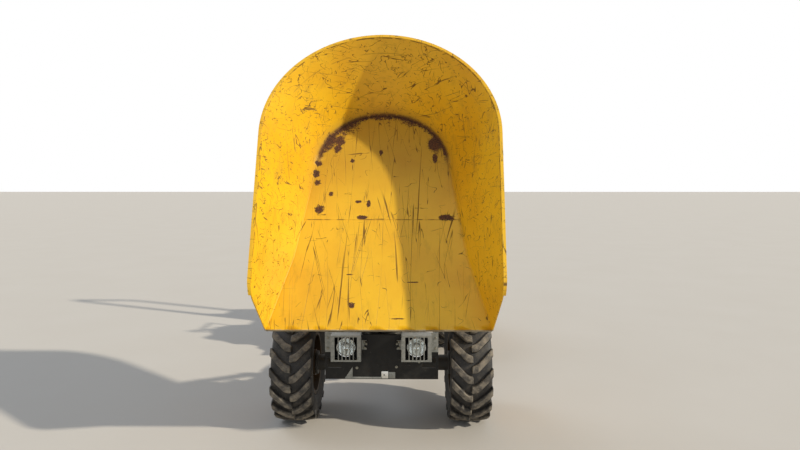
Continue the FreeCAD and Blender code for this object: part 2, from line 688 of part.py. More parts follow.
def tip_cylinder_rod():
    """Return the tipping cylinder's rod."""
    return cylinder_rod(*tip_cylinder_ends(), ROD_RADIUS, ROD_TAIL, EYE_RADIUS, EYE_HALF_WIDTH,
                        CYLINDER_PIN_RADIUS, (1, 0, 0))


def steering_cylinder_ends():
    """Return the steering cylinder's base and rod eye centres."""
    return ((STEER_REAR_X, at(STEER_REAR_A), STEER_Z), (STEER_FRONT_X, at(STEER_FRONT_A), STEER_Z))


def steering_cylinder_barrel():
    """Return the steering cylinder's barrel."""
    return cylinder_barrel(*steering_cylinder_ends(), STEER_BARREL_RADIUS, STEER_BARREL_LENGTH, STEER_NECK,
                           STEER_ROD_RADIUS + PIN_CLEARANCE, STEER_EYE_RADIUS, STEER_EYE_HALF_WIDTH,
                           STEER_PIN_RADIUS, (0, 0, 1))


def steering_cylinder_rod():
    """Return the steering cylinder's rod."""
    return cylinder_rod(*steering_cylinder_ends(), STEER_ROD_RADIUS, STEER_ROD_TAIL, STEER_EYE_RADIUS,
                        STEER_EYE_HALF_WIDTH, STEER_PIN_RADIUS, (0, 0, 1))


def steering_ears(x_root, x, y, stub):
    """Return the two ears beside a steering cylinder's eye, with a through pin or two stub pins."""
    gap = STEER_EYE_HALF_WIDTH + EYE_SIDE_GAP
    tip_x, tip_half = x + STEER_EAR_HALF_WIDTH, STEER_EAR_HALF_WIDTH - 20
    outline = [(x_root, y - STEER_EAR_HALF_WIDTH), (x, y - STEER_EAR_HALF_WIDTH), (tip_x, y - tip_half),
               (tip_x, y + tip_half), (x, y + STEER_EAR_HALF_WIDTH), (x_root, y + STEER_EAR_HALF_WIDTH)]
    ears = [flat_plate(outline, STEER_Z + gap, STEER_EAR),
            flat_plate(outline, STEER_Z - gap - STEER_EAR, STEER_EAR)]
    outer = gap + STEER_EAR + 5
    if not stub:
        return ears + [rod((x, y, STEER_Z - outer), (x, y, STEER_Z + outer), STEER_PIN_RADIUS)]
    return ears + [rod((x, y, STEER_Z + side * gap), (x, y, STEER_Z + side * outer), STEER_PIN_RADIUS)
                   for side in SIDES.values()]


def axle_saddles(outer_x, width, y, top):
    """Return the two blocks that join a chassis to its axle tube."""
    return both_sides(box((outer_x - width, outer_x), (y - SADDLE_HALF_LENGTH, y + SADDLE_HALF_LENGTH),
                          (AXLE_Z + AXLE_TUBE_RADIUS, top + 2 * WELD_LAP)))


def front_frame():
    """Return the front chassis with its lamp plate and the pivot's two eye plates."""
    start, end, pivot = at(FRONT_PLATE_A), at(FRONT_FRAME_END_A), at(PIVOT_A)
    half, web_top = FRONT_FRAME_HALF_WIDTH, FRAME_TOP - WELD_LAP
    plate = box((-FRONT_PLATE_HALF_WIDTH, FRONT_PLATE_HALF_WIDTH), (start - FRONT_PLATE, start),
                (FRONT_PLATE_BOTTOM, FRONT_PLATE_TOP))
    window_x = FRONT_PLATE_HALF_WIDTH - WINDOW_EDGE
    window = box((window_x - WINDOW_WIDTH, window_x), (start - 2 * FRONT_PLATE, start + FRONT_PLATE),
                 (WINDOW_BOTTOM, WINDOW_BOTTOM + WINDOW_HEIGHT))
    deck = flat_plate(symmetric([(FRONT_PLATE_HALF_WIDTH, start), (FRONT_PLATE_HALF_WIDTH, start + 60),
                                 (SLEW_RADIUS + 25, start + 150), (SLEW_RADIUS + 25, end - 300),
                                 (half, end - 200), (half, end), (PIVOT_EYE_RADIUS, pivot)]),
                      FRAME_TOP - FRAME_PLATE, FRAME_PLATE)
    webs = both_sides(side_plate([(start, FRAME_BOTTOM - 70), (start + 60, FRAME_BOTTOM),
                                  (end - 200, FRAME_BOTTOM), (end - 130, PIVOT_LOWER_Z),
                                  (end, PIVOT_LOWER_Z), (end, web_top), (start, web_top)],
                                 half - FRAME_PLATE, FRAME_PLATE))
    floor = flat_plate(symmetric([(half, end - 130), (half, end), (PIVOT_EYE_RADIUS, pivot)]),
                       PIVOT_LOWER_Z, FRAME_PLATE)
    eyes = [Part.makeCylinder(PIVOT_EYE_RADIUS, FRAME_PLATE, Vector(0, pivot, z))
            for z in (PIVOT_LOWER_Z, FRAME_TOP - FRAME_PLATE)]
    back = box((-half, half), (end - FRAME_PLATE, end), (PIVOT_LOWER_Z, web_top))
    saddles = axle_saddles(half, RAIL_WIDTH, at(0), FRAME_BOTTOM)
    ears = steering_ears(half - WELD_LAP, STEER_FRONT_X, at(STEER_FRONT_A), True)
    lugs = both_sides(lashing_lug(half, at(FRONT_LUG_A), FRONT_LUG_Z))
    solid = fused([plate, deck, floor, back] + webs + eyes + saddles + ears + lugs)
    bore = rod((0, pivot, PIVOT_LOWER_Z - 20), (0, pivot, FRAME_TOP + 20), PIVOT_PIN_RADIUS + PIN_CLEARANCE)
    return solid.cut(both_sides(window) + [bore])


def articulation_pin():
    """Return the upright pin between the two chassis, with its head."""
    y = at(PIVOT_A)
    shank = rod((0, y, PIVOT_LOWER_Z - 2 * FRAME_PLATE), (0, y, FRAME_TOP), PIVOT_PIN_RADIUS)
    head = rod((0, y, FRAME_TOP), (0, y, FRAME_TOP + PIVOT_HEAD_HEIGHT), PIVOT_HEAD_RADIUS)
    return shank.fuse(head).removeSplitter()


def axle(y):
    """Return a driven axle with its differential, flanges and spindles."""
    face = HUB_FACE_X - 2 * WELD_LAP
    tube = crossbar((-face, face), y, AXLE_Z, AXLE_TUBE_RADIUS)
    half = DIFFERENTIAL_LENGTH / 2
    case = revolved([[(-half, 1)], [(-half, DIFFERENTIAL_NECK_RADIUS)], [(-half * 0.4, DIFFERENTIAL_RADIUS)],
                     [(half * 0.4, DIFFERENTIAL_RADIUS)], [(half, DIFFERENTIAL_NECK_RADIUS)], [(half, 1)]],
                    (0, y, AXLE_Z))
    flange = crossbar((face - AXLE_FLANGE_THICKNESS, face), y, AXLE_Z, AXLE_FLANGE_RADIUS)
    spindle = crossbar((face, face + SPINDLE_LENGTH), y, AXLE_Z, SPINDLE_RADIUS)
    return fused([tube, case] + both_sides(flange) + both_sides(spindle))


def tread_radius(x):
    """Return the radius over the lugs at a distance from the middle of a tyre's tread."""
    return TYRE_RADIUS - TREAD_DROP * (2 * x / TYRE_WIDTH) ** 2


def round_x(x, radius, turn):
    """Return a point at a radius round the X axis, at an angle from straight down."""
    return Vector(x, -radius * math.sin(turn), -radius * math.cos(turn))


def fan(hub, points):
    """Return the triangles from one point to each run between the points that follow."""
    return [(hub, start, end) for start, end in zip(points, points[1:])]


def half_tread(side):
    """Return the facets of one half of a tyre's tread and wall, as triangles of points."""
    half, bead = TYRE_WIDTH / 2, RIM_WIDTH / 2 - RIM_WALL
    bead_top, foot_middle = BEAD_RADIUS + RIM_FLANGE + 2, TYRE_RADIUS - LUG_HEIGHT
    belly = blend(bead_top, tread_radius(half) - LUG_HEIGHT, 0.5)
    pitch = 2 * math.pi / LUGS_PER_SIDE
    # The bore's flat facets lie just off the round rim at their middles, so their corners lie further out
    seat = (BEAD_RADIUS + PIN_CLEARANCE) / math.cos(pitch / 4)
    start = 0.0 if side > 0 else pitch / 2
    centre_spread = (LUG_SECTIONS[0][2] + LUG_FLARE) / TYRE_RADIUS

    def section(number, share, run, half_width):
        """Return a lug's foot, top, top and foot where the section crosses it."""
        x, middle = share * half, start + number * pitch + run * half / TYRE_RADIUS
        spread, foot_spread = half_width / TYRE_RADIUS, (half_width + LUG_FLARE) / TYRE_RADIUS
        top, foot = tread_radius(x) / math.cos(spread), tread_radius(x) - LUG_HEIGHT
        return [round_x(side * x, foot, middle - foot_spread), round_x(side * x, top, middle - spread),
                round_x(side * x, top, middle + spread), round_x(side * x, foot, middle + foot_spread)]

    def wall(number, x, radius):
        """Return the wall's points under a lug, in the gap after it and under the next lug."""
        last_run = LUG_SECTIONS[-1][1] * half / TYRE_RADIUS
        return [round_x(side * x, radius, start + last_run + (number + step) * pitch) for step in (0, 0.5, 1)]

    triangles = []
    for number in range(LUGS_PER_SIDE):
        lug = [section(number, *row) for row in LUG_SECTIONS]
        following = [section(number + 1, *row) for row in LUG_SECTIONS]
        opposite = start + (number + 0.5) * pitch
        facing = [round_x(0, foot_middle, opposite + sign * centre_spread) for sign in (-1, 1)]
        triangles += fan(lug[0][0], lug[0][1:])
        triangles += fan(lug[1][3], [lug[0][3], *facing, following[1][0]])
        triangles.append((facing[1], following[0][0], following[1][0]))
        for near, far in zip(lug, lug[1:]):
            for corner in range(3):
                triangles += fan(near[corner], [near[corner + 1], far[corner + 1], far[corner]])
        for row in range(1, len(LUG_SECTIONS) - 1):
            triangles += fan(lug[row][3], [following[row][0], following[row + 1][0], lug[row + 1][3]])
        under, gap, under_next = wall(number, half, belly)
        triangles += fan(under, [gap, lug[-1][3], lug[-1][2], lug[-1][1], lug[-1][0]])
        triangles += fan(gap, [under_next, following[-1][0], lug[-1][3]])
        for (x, radius), (next_x, next_radius) in (((half, belly), (bead, bead_top)),
                                                   ((bead, bead_top), (bead, seat))):
            outer, inner = wall(number, x, radius), wall(number, next_x, next_radius)
            for step in (0, 1):
                triangles += fan(outer[step], [outer[step + 1], inner[step + 1], inner[step]])
    return triangles


def lugged_tyre():
    """Return a tyre round the X axis, with its bulging walls and two staggered rows of lugs.

    The two rows meet at the tread's middle, where each lug of one ends between two lugs of the other.
    """
    bead = RIM_WIDTH / 2 - RIM_WALL
    step = math.pi / LUGS_PER_SIDE
    seat = (BEAD_RADIUS + PIN_CLEARANCE) / math.cos(step / 2)
    start = LUG_SECTIONS[-1][1] * TYRE_WIDTH / 2 / TYRE_RADIUS
    triangles = half_tread(1) + half_tread(-1)
    for number in range(2 * LUGS_PER_SIDE):
        here, there = start + number * step, start + (number + 1) * step
        triangles += fan(round_x(bead, seat, here), [
            round_x(bead, seat, there), round_x(-bead, seat, there), round_x(-bead, seat, here)])
    faces = [Part.Face(Part.makePolygon([*triangle, triangle[0]])) for triangle in triangles]
    solid = Part.makeSolid(Part.Shell(faces))
    return solid if solid.Volume > 0 else solid.reversed()


def tyre(side, y):
    """Return one wheel's tyre."""
    solid = LUGGED_TYRE if side > 0 else mirrored(LUGGED_TYRE)
    return solid.translated(Vector(side * HALF_TRACK, y, AXLE_Z))


def wheel(side, y):
    """Return a disc wheel with its hub and end cap."""
    half = RIM_WIDTH / 2
    flange, well, inner = BEAD_RADIUS + RIM_FLANGE, BEAD_RADIUS - RIM_WELL_DEPTH, BEAD_RADIUS - RIM_WALL
    half_profile = [
        (half, inner), (half * 0.6, inner), (half * 0.44, well - RIM_WALL),
    ]
    outer_profile = [
        (half * 0.4, well), (half * 0.55, BEAD_RADIUS), (half - RIM_WALL, BEAD_RADIUS),
        (half - RIM_WALL, flange), (half, flange),
    ]
    ring = outer_profile + half_profile
    left_to_right = [(-x, radius) for x, radius in reversed(outer_profile)] + ring
    left_to_right += [(-x, radius) for x, radius in reversed(half_profile)]
    barrel = revolved([[point] for point in left_to_right], (HALF_TRACK, y, AXLE_Z))
    disc_x, hub_x = HALF_TRACK + DISC_OUTSET, HUB_FACE_X
    disc = crossbar((disc_x, disc_x + DISC_THICKNESS), y, AXLE_Z, well - RIM_WALL / 2)
    hub = crossbar((hub_x, disc_x), y, AXLE_Z, HUB_RADIUS)
    cap = crossbar((disc_x, disc_x + DISC_THICKNESS + HUB_CAP_LENGTH), y, AXLE_Z, HUB_CAP_RADIUS)
    socket = crossbar((hub_x - 1, hub_x + SPINDLE_LENGTH + 6), y, AXLE_Z, SPINDLE_RADIUS + PIN_CLEARANCE)
    solid = fused([barrel, disc, hub, cap]).cut(socket)
    return solid if side > 0 else mirrored(solid)


def headlamp(side):
    """Return a round headlamp bucket with its bracket."""
    x, face, back = side * LAMP_HALF_SPACING, at(LAMP_FACE_A), at(FRONT_PLATE_A) - FRONT_PLATE
    rim_end, stem_end = face + LAMP_RIM_DEPTH, back - 8
    rim = rod((x, face, LAMP_Z), (x, rim_end, LAMP_Z), LAMP_RADIUS)
    bucket = Part.makeCone(LAMP_RADIUS - 4, LAMP_RADIUS - 26, stem_end - rim_end,
                           Vector(x, rim_end, LAMP_Z), Vector(0, 1, 0))
    stem = rod((x, stem_end - WELD_LAP, LAMP_Z), (x, back, LAMP_Z), LAMP_STEM_RADIUS)
    return fused([rim, bucket, stem])


def lamp_guard(side):
    """Return the box guard round a headlamp, with its bars, an outer wing and an inner bolting tab."""
    front, back = at(GUARD_FRONT_A), at(FRONT_PLATE_A) - FRONT_PLATE
    inner, outer = LAMP_HALF_SPACING - GUARD_HALF_WIDTH, LAMP_HALF_SPACING + GUARD_HALF_WIDTH
    shell = box((inner, outer), (front, back), (GUARD_BOTTOM, GUARD_TOP))
    inside = box((inner + GUARD_SHEET, outer - GUARD_SHEET), (front + GUARD_SHEET, back + 1),
                 (GUARD_BOTTOM + GUARD_SHEET, GUARD_TOP - GUARD_SHEET))
    first, last = inner + GUARD_SIDE_FLANGE, outer - GUARD_SIDE_FLANGE
    window = box((first, last), (front - 1, front + GUARD_SHEET + 1),
                 (GUARD_BOTTOM + GUARD_BOTTOM_FLANGE, GUARD_TOP - GUARD_BOTTOM_FLANGE))
    bar_y = front + GUARD_BAR_RADIUS
    bars = []
    for number in range(1, GUARD_BARS + 1):
        x = blend(first, last, number / (GUARD_BARS + 1))
        bars.append(rod((x, bar_y, GUARD_BOTTOM + WELD_LAP), (x, bar_y, GUARD_TOP - WELD_LAP),
                        GUARD_BAR_RADIUS))
    wing = box((outer - WELD_LAP, outer + GUARD_WING), (back - 2 * GUARD_SHEET, back),
               (GUARD_WING_BOTTOM, GUARD_TOP))
    tab = box((inner - GUARD_TAB, inner + WELD_LAP), (back - 2 * GUARD_SHEET, back),
              (LAMP_Z - GUARD_TAB_HEIGHT / 2, LAMP_Z + GUARD_TAB_HEIGHT / 2))
    solid = fused([shell.cut([inside, window]), wing, tab] + bars)
    return solid if side > 0 else mirrored(solid)


def rear_frame():
    """Return the rear chassis with its pivot tube, rails, cross members and steering ears."""
    pivot, start, end = at(PIVOT_A), at(RAIL_FRONT_A), at(RAIL_END_A)
    tube = rod((0, pivot, PIVOT_LOWER_Z + FRAME_PLATE + PIVOT_TUBE_GAP),
               (0, pivot, FRAME_TOP - FRAME_PLATE - PIVOT_TUBE_GAP), PIVOT_TUBE_RADIUS)
    arm = flat_plate(symmetric([(ARM_HALF_WIDTH, pivot), (ARM_HALF_WIDTH + 20, start + 5)]),
                     RAIL_BOTTOM - ARM_DROP, RAIL_TOP - RAIL_BOTTOM)
    head = box((-RAIL_OUTER_X, RAIL_OUTER_X), (start, start + CROSS_MEMBER),
               (RAIL_BOTTOM - ARM_DROP, RAIL_TOP))
    rails = both_sides(box((RAIL_OUTER_X - RAIL_WIDTH, RAIL_OUTER_X), (start, end), (RAIL_BOTTOM, RAIL_TOP)))
    middles = [at(place) for place in CROSS_MEMBER_PLACES] + [end - CROSS_MEMBER / 2]
    crosses = [box((-RAIL_OUTER_X, RAIL_OUTER_X), (y - CROSS_MEMBER / 2, y + CROSS_MEMBER / 2),
                   (RAIL_BOTTOM + 10, RAIL_TOP - 10)) for y in middles]
    arms = ((at(PLATFORM_FRONT_A) + CROSS_MEMBER / 2, PLATFORM_HALF_WIDTH - STEP_HANGER),
            (at(HOOP_A), HOOP_HALF_SPAN + HOOP_TUBE / 2))
    outriggers = [box((-reach, reach), (y - CROSS_MEMBER / 2, y + CROSS_MEMBER / 2),
                      (RAIL_TOP - CROSS_MEMBER, RAIL_TOP)) for y, reach in arms]
    saddles = axle_saddles(RAIL_OUTER_X, RAIL_WIDTH, REAR_AXLE_Y, RAIL_BOTTOM)
    ears = steering_ears(RAIL_OUTER_X - WELD_LAP, STEER_REAR_X, at(STEER_REAR_A), False)
    bore = rod((0, pivot, PIVOT_LOWER_Z), (0, pivot, FRAME_TOP), PIVOT_PIN_RADIUS + PIN_CLEARANCE)
    return fused([tube, arm, head] + rails + crosses + outriggers + saddles + ears).cut(bore)


def platform():
    """Return the operator's floor plate with a pair of steps on each side."""
    front, end = at(PLATFORM_FRONT_A), at(BULKHEAD_A)
    step_front, step_end = at(STEP_FRONT_A), at(STEP_END_A)
    lower, upper = STEP_HEIGHTS
    inner = PLATFORM_HALF_WIDTH - STEP_HANGER
    outer = PLATFORM_HALF_WIDTH + STEP_WIDTH
    floor = box((-PLATFORM_HALF_WIDTH, PLATFORM_HALF_WIDTH), (front, end),
                (RAIL_TOP, RAIL_TOP + PLATFORM_PLATE))
    steps = [side_plate([(front, RAIL_TOP + WELD_LAP), (step_end, RAIL_TOP + WELD_LAP), (step_end, lower),
                         (step_front, lower), (step_front, lower + 60)], inner, STEP_HANGER)]
    for height, reach in ((lower, outer), (upper, outer - STEP_SETBACK)):
        steps.append(box((inner, reach), (step_front, step_end), (height, height + STEP_TREAD)))
        steps.append(box((inner, reach), (step_end - STEP_TREAD, step_end), (height, height + STEP_RISER)))
    return fused([floor] + both_sides(fused(steps)))


def dash_outline(wall):
    """Return the (Y, Z) outline of the console in front of the operator, a wall inside its skin."""
    front, z = at(DASH_FRONT_A), RAIL_TOP + PLATFORM_PLATE
    rear = front + DASH_DEPTH
    return [(front + wall, z), (rear - wall, z), (rear - wall, DASH_TOP - 190),
            (rear + 70 - 2 * wall, DASH_TOP - 90), (rear + 30 - wall, DASH_TOP - 30 - wall),
            (front + 40, DASH_TOP - 1.5 * wall), (front + wall, DASH_TOP - 40 - wall)]


def dash_block():
    """Return the outside of the operator's console, with its sloping top."""
    return side_plate(dash_outline(0), -DASH_HALF_WIDTH, 2 * DASH_HALF_WIDTH)


def dash_console():
    """Return the hollow console in front of the operator, open underneath."""
    return dash_block().cut(side_plate(dash_outline(SHEET), SHEET - DASH_HALF_WIDTH,
                                       2 * (DASH_HALF_WIDTH - SHEET)))


def column_axis():
    """Return the steering wheel's centre and the direction down its column."""
    angle = math.radians(COLUMN_ANGLE)
    return (Vector(0, at(STEERING_WHEEL_A), STEERING_WHEEL_Z),
            Vector(0, -math.sin(angle), -math.cos(angle)))


def steering_column():
    """Return the column between the dash and the steering wheel."""
    centre, down = column_axis()
    hub_foot = WHEEL_HUB_HEIGHT * 0.65
    tube = Part.makeCylinder(COLUMN_RADIUS, COLUMN_LENGTH, centre + down * hub_foot, down)
    cowl = Part.makeCone(COLUMN_RADIUS + 17, COLUMN_RADIUS + 31, COWL_LENGTH,
                         centre + down * (COLUMN_LENGTH + hub_foot - COWL_LENGTH), down)
    return tube.fuse(cowl).removeSplitter().cut(dash_block())


def steering_wheel():
    """Return the steering wheel with its hub and three spokes."""
    centre, down = column_axis()
    up = Vector(0, 0, 1)
    rim = Part.makeTorus(STEERING_WHEEL_RADIUS, STEERING_WHEEL_TUBE, Vector(0, 0, 0), up)
    hub = Part.makeCylinder(WHEEL_HUB_RADIUS, WHEEL_HUB_HEIGHT, Vector(0, 0, -0.65 * WHEEL_HUB_HEIGHT), up)
    spokes = []
    for angle in (90, 210, 330):
        direction = Vector(math.cos(math.radians(angle)), math.sin(math.radians(angle)), 0)
        spokes.append(Part.makeCylinder(SPOKE_RADIUS, STEERING_WHEEL_RADIUS - 20, direction * 20, direction))
    wheel_solid = fused([rim, hub] + spokes)
    wheel_solid.Placement = Placement(centre, Rotation(up, down * -1))
    return wheel_solid


def control_levers():
    """Return the skip levers on their stand beside the seat."""
    x, y, z = LEVER_STAND_X, at(SEAT_A) - 60, RAIL_TOP + PLATFORM_PLATE
    top, lean = z + LEVER_STAND_HEIGHT, 40
    pieces = [box((x - LEVER_STAND_HALF_WIDTH, x + LEVER_STAND_HALF_WIDTH),
                  (y - LEVER_STAND_HALF_LENGTH, y + LEVER_STAND_HALF_LENGTH), (z, top))]
    for number in (-1, 0, 1):
        lever_x = x + LEVER_SPACING * number
        tip = (lever_x, y - lean, top - 10 + LEVER_LENGTH)
        pieces.append(rod((lever_x, y, top - 10), tip, LEVER_RADIUS))
        pieces.append(Part.makeSphere(LEVER_KNOB_RADIUS, Vector(*tip)))
    return fused(pieces)


def foot_pedals():
    """Return the drive and brake pedals on the console's rear wall."""
    y, z = at(DASH_FRONT_A) + DASH_DEPTH, RAIL_TOP + PLATFORM_PLATE
    pieces = []
    for x in (-PEDAL_X, PEDAL_X):
        knee, foot = (x, y + 24, z + 150), (x, y + 90, z + 90)
        root = rod((x, y, z + 150), knee, PEDAL_ARM_RADIUS)
        arm = rod(knee, foot, PEDAL_ARM_RADIUS)
        pad = Part.makeBox(PEDAL_WIDTH, PEDAL_PAD, PEDAL_LENGTH,
                           Vector(x - PEDAL_WIDTH / 2, -PEDAL_PAD / 2, -PEDAL_LENGTH / 2))
        pad.Placement = Placement(Vector(0, y + 96, z + 90), Rotation(Vector(1, 0, 0), -50))
        pieces.append(fused([root, Part.makeSphere(PEDAL_ARM_RADIUS, Vector(*knee)), arm, pad]))
    return Part.makeCompound(pieces)


def seat_base():
    """Return the boxed plinth under the seat."""
    front, end, z = at(SEAT_A), at(BULKHEAD_A), RAIL_TOP + PLATFORM_PLATE
    half = SEAT_HALF_WIDTH + SEAT_BASE_MARGIN
    outline = [(front + SEAT_TOE_DEPTH, z), (end, z), (end, SEAT_BASE_TOP), (front, SEAT_BASE_TOP),
               (front, z + SEAT_TOE_HEIGHT)]
    return side_plate(outline, -half, 2 * half)


def seat_cushion():
    """Return the seat cushion."""
    front, z = at(SEAT_A) + CUSHION_SETBACK, SEAT_BASE_TOP + SEAT_GAP
    cushion = box((-SEAT_HALF_WIDTH, SEAT_HALF_WIDTH), (front, front + SEAT_DEPTH),
                  (z, z + CUSHION_THICKNESS))
    upright = [edge for edge in cushion.Edges if abs(edge.tangentAt(0).z) > 0.9]
    return cushion.makeFillet(CUSHION_CORNER, upright)


def seat_backrest():
    """Return the backrest, leaning back a little."""
    half = SEAT_HALF_WIDTH - 10
    rest = box((-half, half), (0, BACKREST_THICKNESS), (0, BACKREST_HEIGHT))
    corners = [edge for edge in rest.Edges
               if abs(edge.tangentAt(0).y) > 0.9 and edge.CenterOfMass.z > BACKREST_HEIGHT / 2]
    rest = rest.makeFillet(BACKREST_CORNER, corners)
    sink = BACKREST_THICKNESS * math.sin(math.radians(BACKREST_LEAN))
    foot = Vector(0, at(SEAT_A) + SEAT_DEPTH - BACKREST_THICKNESS + CUSHION_SETBACK,
                  SEAT_BASE_TOP + CUSHION_THICKNESS + 2 * SEAT_GAP + sink)
    rest.Placement = Placement(foot, Rotation(Vector(1, 0, 0), -BACKREST_LEAN))
    return rest


def fender(side):
    """Return the arched fender over a rear wheel, with its inner skirt."""
    xs = (FENDER_INNER_X, FENDER_OUTER_X)
    ring = crossbar(xs, REAR_AXLE_Y, AXLE_Z, FENDER_RADIUS)
    ring = ring.cut(crossbar(xs, REAR_AXLE_Y, AXLE_Z, FENDER_RADIUS - FENDER_SHEET))
    skirt = crossbar((FENDER_INNER_X, FENDER_INNER_X + FENDER_SHEET), REAR_AXLE_Y, AXLE_Z, FENDER_RADIUS)
    reach = FENDER_RADIUS * FENDER_REACH_SHARE
    keep = box((xs[0] - 1, xs[1] + 1), (REAR_AXLE_Y - reach, REAR_AXLE_Y + reach),
               (RAIL_TOP - 10, AXLE_Z + FENDER_RADIUS + 1))
    solid = ring.fuse(skirt).removeSplitter().common(keep)
    return solid if side > 0 else mirrored(solid)


def engine_block():
    """Return the engine as one plain block on the rails."""
    return box((-ENGINE_HALF_WIDTH, ENGINE_HALF_WIDTH), (at(ENGINE_FRONT_A), at(ENGINE_END_A)),
               (RAIL_TOP, ENGINE_TOP))


def engine_bulkhead():
    """Return the wall between operator and engine, with the hood's hinge lugs."""
    y, hinge_y = at(BULKHEAD_A), at(HOOD_HINGE_A)
    wall = box((-HOOD_HALF_WIDTH, HOOD_HALF_WIDTH), (y, y + 2 * SHEET), (RAIL_TOP, BULKHEAD_TOP))
    pieces = []
    for inner in (HINGE_LUG_X, HINGE_LUG_X + HINGE_LUG_SPACING):
        lug = side_plate([(y + WELD_LAP, BULKHEAD_TOP - 60), (hinge_y, HOOD_HINGE_Z - HINGE_EYE_RADIUS),
                          (hinge_y, HOOD_HINGE_Z + HINGE_EYE_RADIUS), (y + WELD_LAP, BULKHEAD_TOP)],
                         inner, HINGE_LUG)
        pieces.append(lug.fuse(crossbar((inner, inner + HINGE_LUG), hinge_y, HOOD_HINGE_Z, HINGE_EYE_RADIUS)))
    pin_x = (HINGE_LUG_X - WELD_LAP, HINGE_LUG_X + HINGE_LUG_SPACING + HINGE_LUG + WELD_LAP)
    pieces.append(crossbar(pin_x, hinge_y, HOOD_HINGE_Z, HINGE_PIN_RADIUS))
    return fused([wall] + both_sides(fused(pieces)))


def engine_hood():
    """Return the hollow lifting hood with louvres in its rear and its hinge knuckles."""
    front, end, hinge_y = at(HOOD_FRONT_A), at(HOOD_END_A), at(HOOD_HINGE_A)

    def outline(wall, front_y, bottom):
        return [(front_y, bottom), (end - wall, bottom), (end - wall, HOOD_TOP - 110 - wall / 2),
                (end - 70 - wall / 2, HOOD_TOP - 20 - 1.25 * wall), (front_y, HOOD_TOP - wall)]

    shell = side_plate(outline(0, front, HOOD_BOTTOM), -HOOD_HALF_WIDTH, 2 * HOOD_HALF_WIDTH)
    hollow = side_plate(outline(HOOD_SHEET, front - 1, HOOD_BOTTOM - 1), HOOD_SHEET - HOOD_HALF_WIDTH,
                        2 * (HOOD_HALF_WIDTH - HOOD_SHEET))
    slots = []
    for number in range(LOUVRES):
        z = HOOD_BOTTOM + 80 + LOUVRE_PITCH * number
        slots.append(box((-LOUVRE_HALF_WIDTH, LOUVRE_HALF_WIDTH), (end - 10, end + 10),
                         (z, z + LOUVRE_HEIGHT)))
    xs = (HINGE_LUG_X + HINGE_LUG + HINGE_SIDE_GAP, HINGE_LUG_X + HINGE_LUG_SPACING - HINGE_SIDE_GAP)
    knuckle = crossbar(xs, hinge_y, HOOD_HINGE_Z, HINGE_EYE_RADIUS - 1)
    leaf = box(xs, (hinge_y, front + 60), (HOOD_HINGE_Z - 12, HOOD_HINGE_Z - 4))
    pin_hole = crossbar((xs[0] - 1, xs[1] + 1), hinge_y, HOOD_HINGE_Z, HINGE_PIN_RADIUS + PIN_CLEARANCE)
    return fused([shell.cut([hollow] + slots)] + both_sides(knuckle.fuse(leaf).cut(pin_hole)))


def fuel_tank():
    """Return the fuel tank beside the right rail, with its cap."""
    front, end = at(STEP_FRONT_A), at(STEP_END_A) + 40
    outer_x, inner_x = 20 - PLATFORM_HALF_WIDTH, -RAIL_OUTER_X - SEAT_GAP
    top = TANK_BOTTOM + TANK_HEIGHT
    tank = box((outer_x, inner_x), (front, end), (TANK_BOTTOM, top))
    tank = tank.makeFillet(TANK_CORNER, [edge for edge in tank.Edges if abs(edge.tangentAt(0).y) > 0.9])
    neck_x, neck_y = blend(outer_x, inner_x, 1 / 3), front + TANK_NECK_SETBACK
    neck = rod((neck_x, neck_y, top - 5), (neck_x, neck_y, top - 5 + TANK_NECK_HEIGHT), TANK_NECK_RADIUS)
    return tank.fuse(neck).removeSplitter()


def exhaust_muffler():
    """Return the muffler beside the right rail with its tail pipe."""
    x, z, front, end = MUFFLER_X, MUFFLER_Z, at(ENGINE_FRONT_A) + 40, at(ENGINE_END_A)
    can = rod((x, front, z), (x, end, z), MUFFLER_RADIUS)
    tail = rod((x, end - 5, z), (x, at(REAR_END_A) - 30, z), TAIL_PIPE_RADIUS)
    straps = [box((x - 20, -RAIL_OUTER_X - SEAT_GAP), (y, y + MUFFLER_STRAP), (z - 12, z + 12))
              for y in (front + 40, end - 40 - MUFFLER_STRAP)]
    return fused([can, tail] + straps)


def lashing_lug(root_x, y, z):
    """Return a flat lug on the machine's left for a lashing shackle, with an upright bore."""
    reach, corner = root_x + LUG_REACH, 16
    half = LUG_HALF_LENGTH
    lug = flat_plate([(root_x - WELD_LAP, y - half), (reach - corner, y - half), (reach, y - half + corner),
                      (reach, y + half - corner), (reach - corner, y + half), (root_x - WELD_LAP, y + half)],
                     z, LUG_PLATE)
    bore_x = reach - LUG_BORE_EDGE
    return lug.cut(rod((bore_x, y, z - 1), (bore_x, y, z + LUG_PLATE + 1), LUG_BORE_RADIUS))


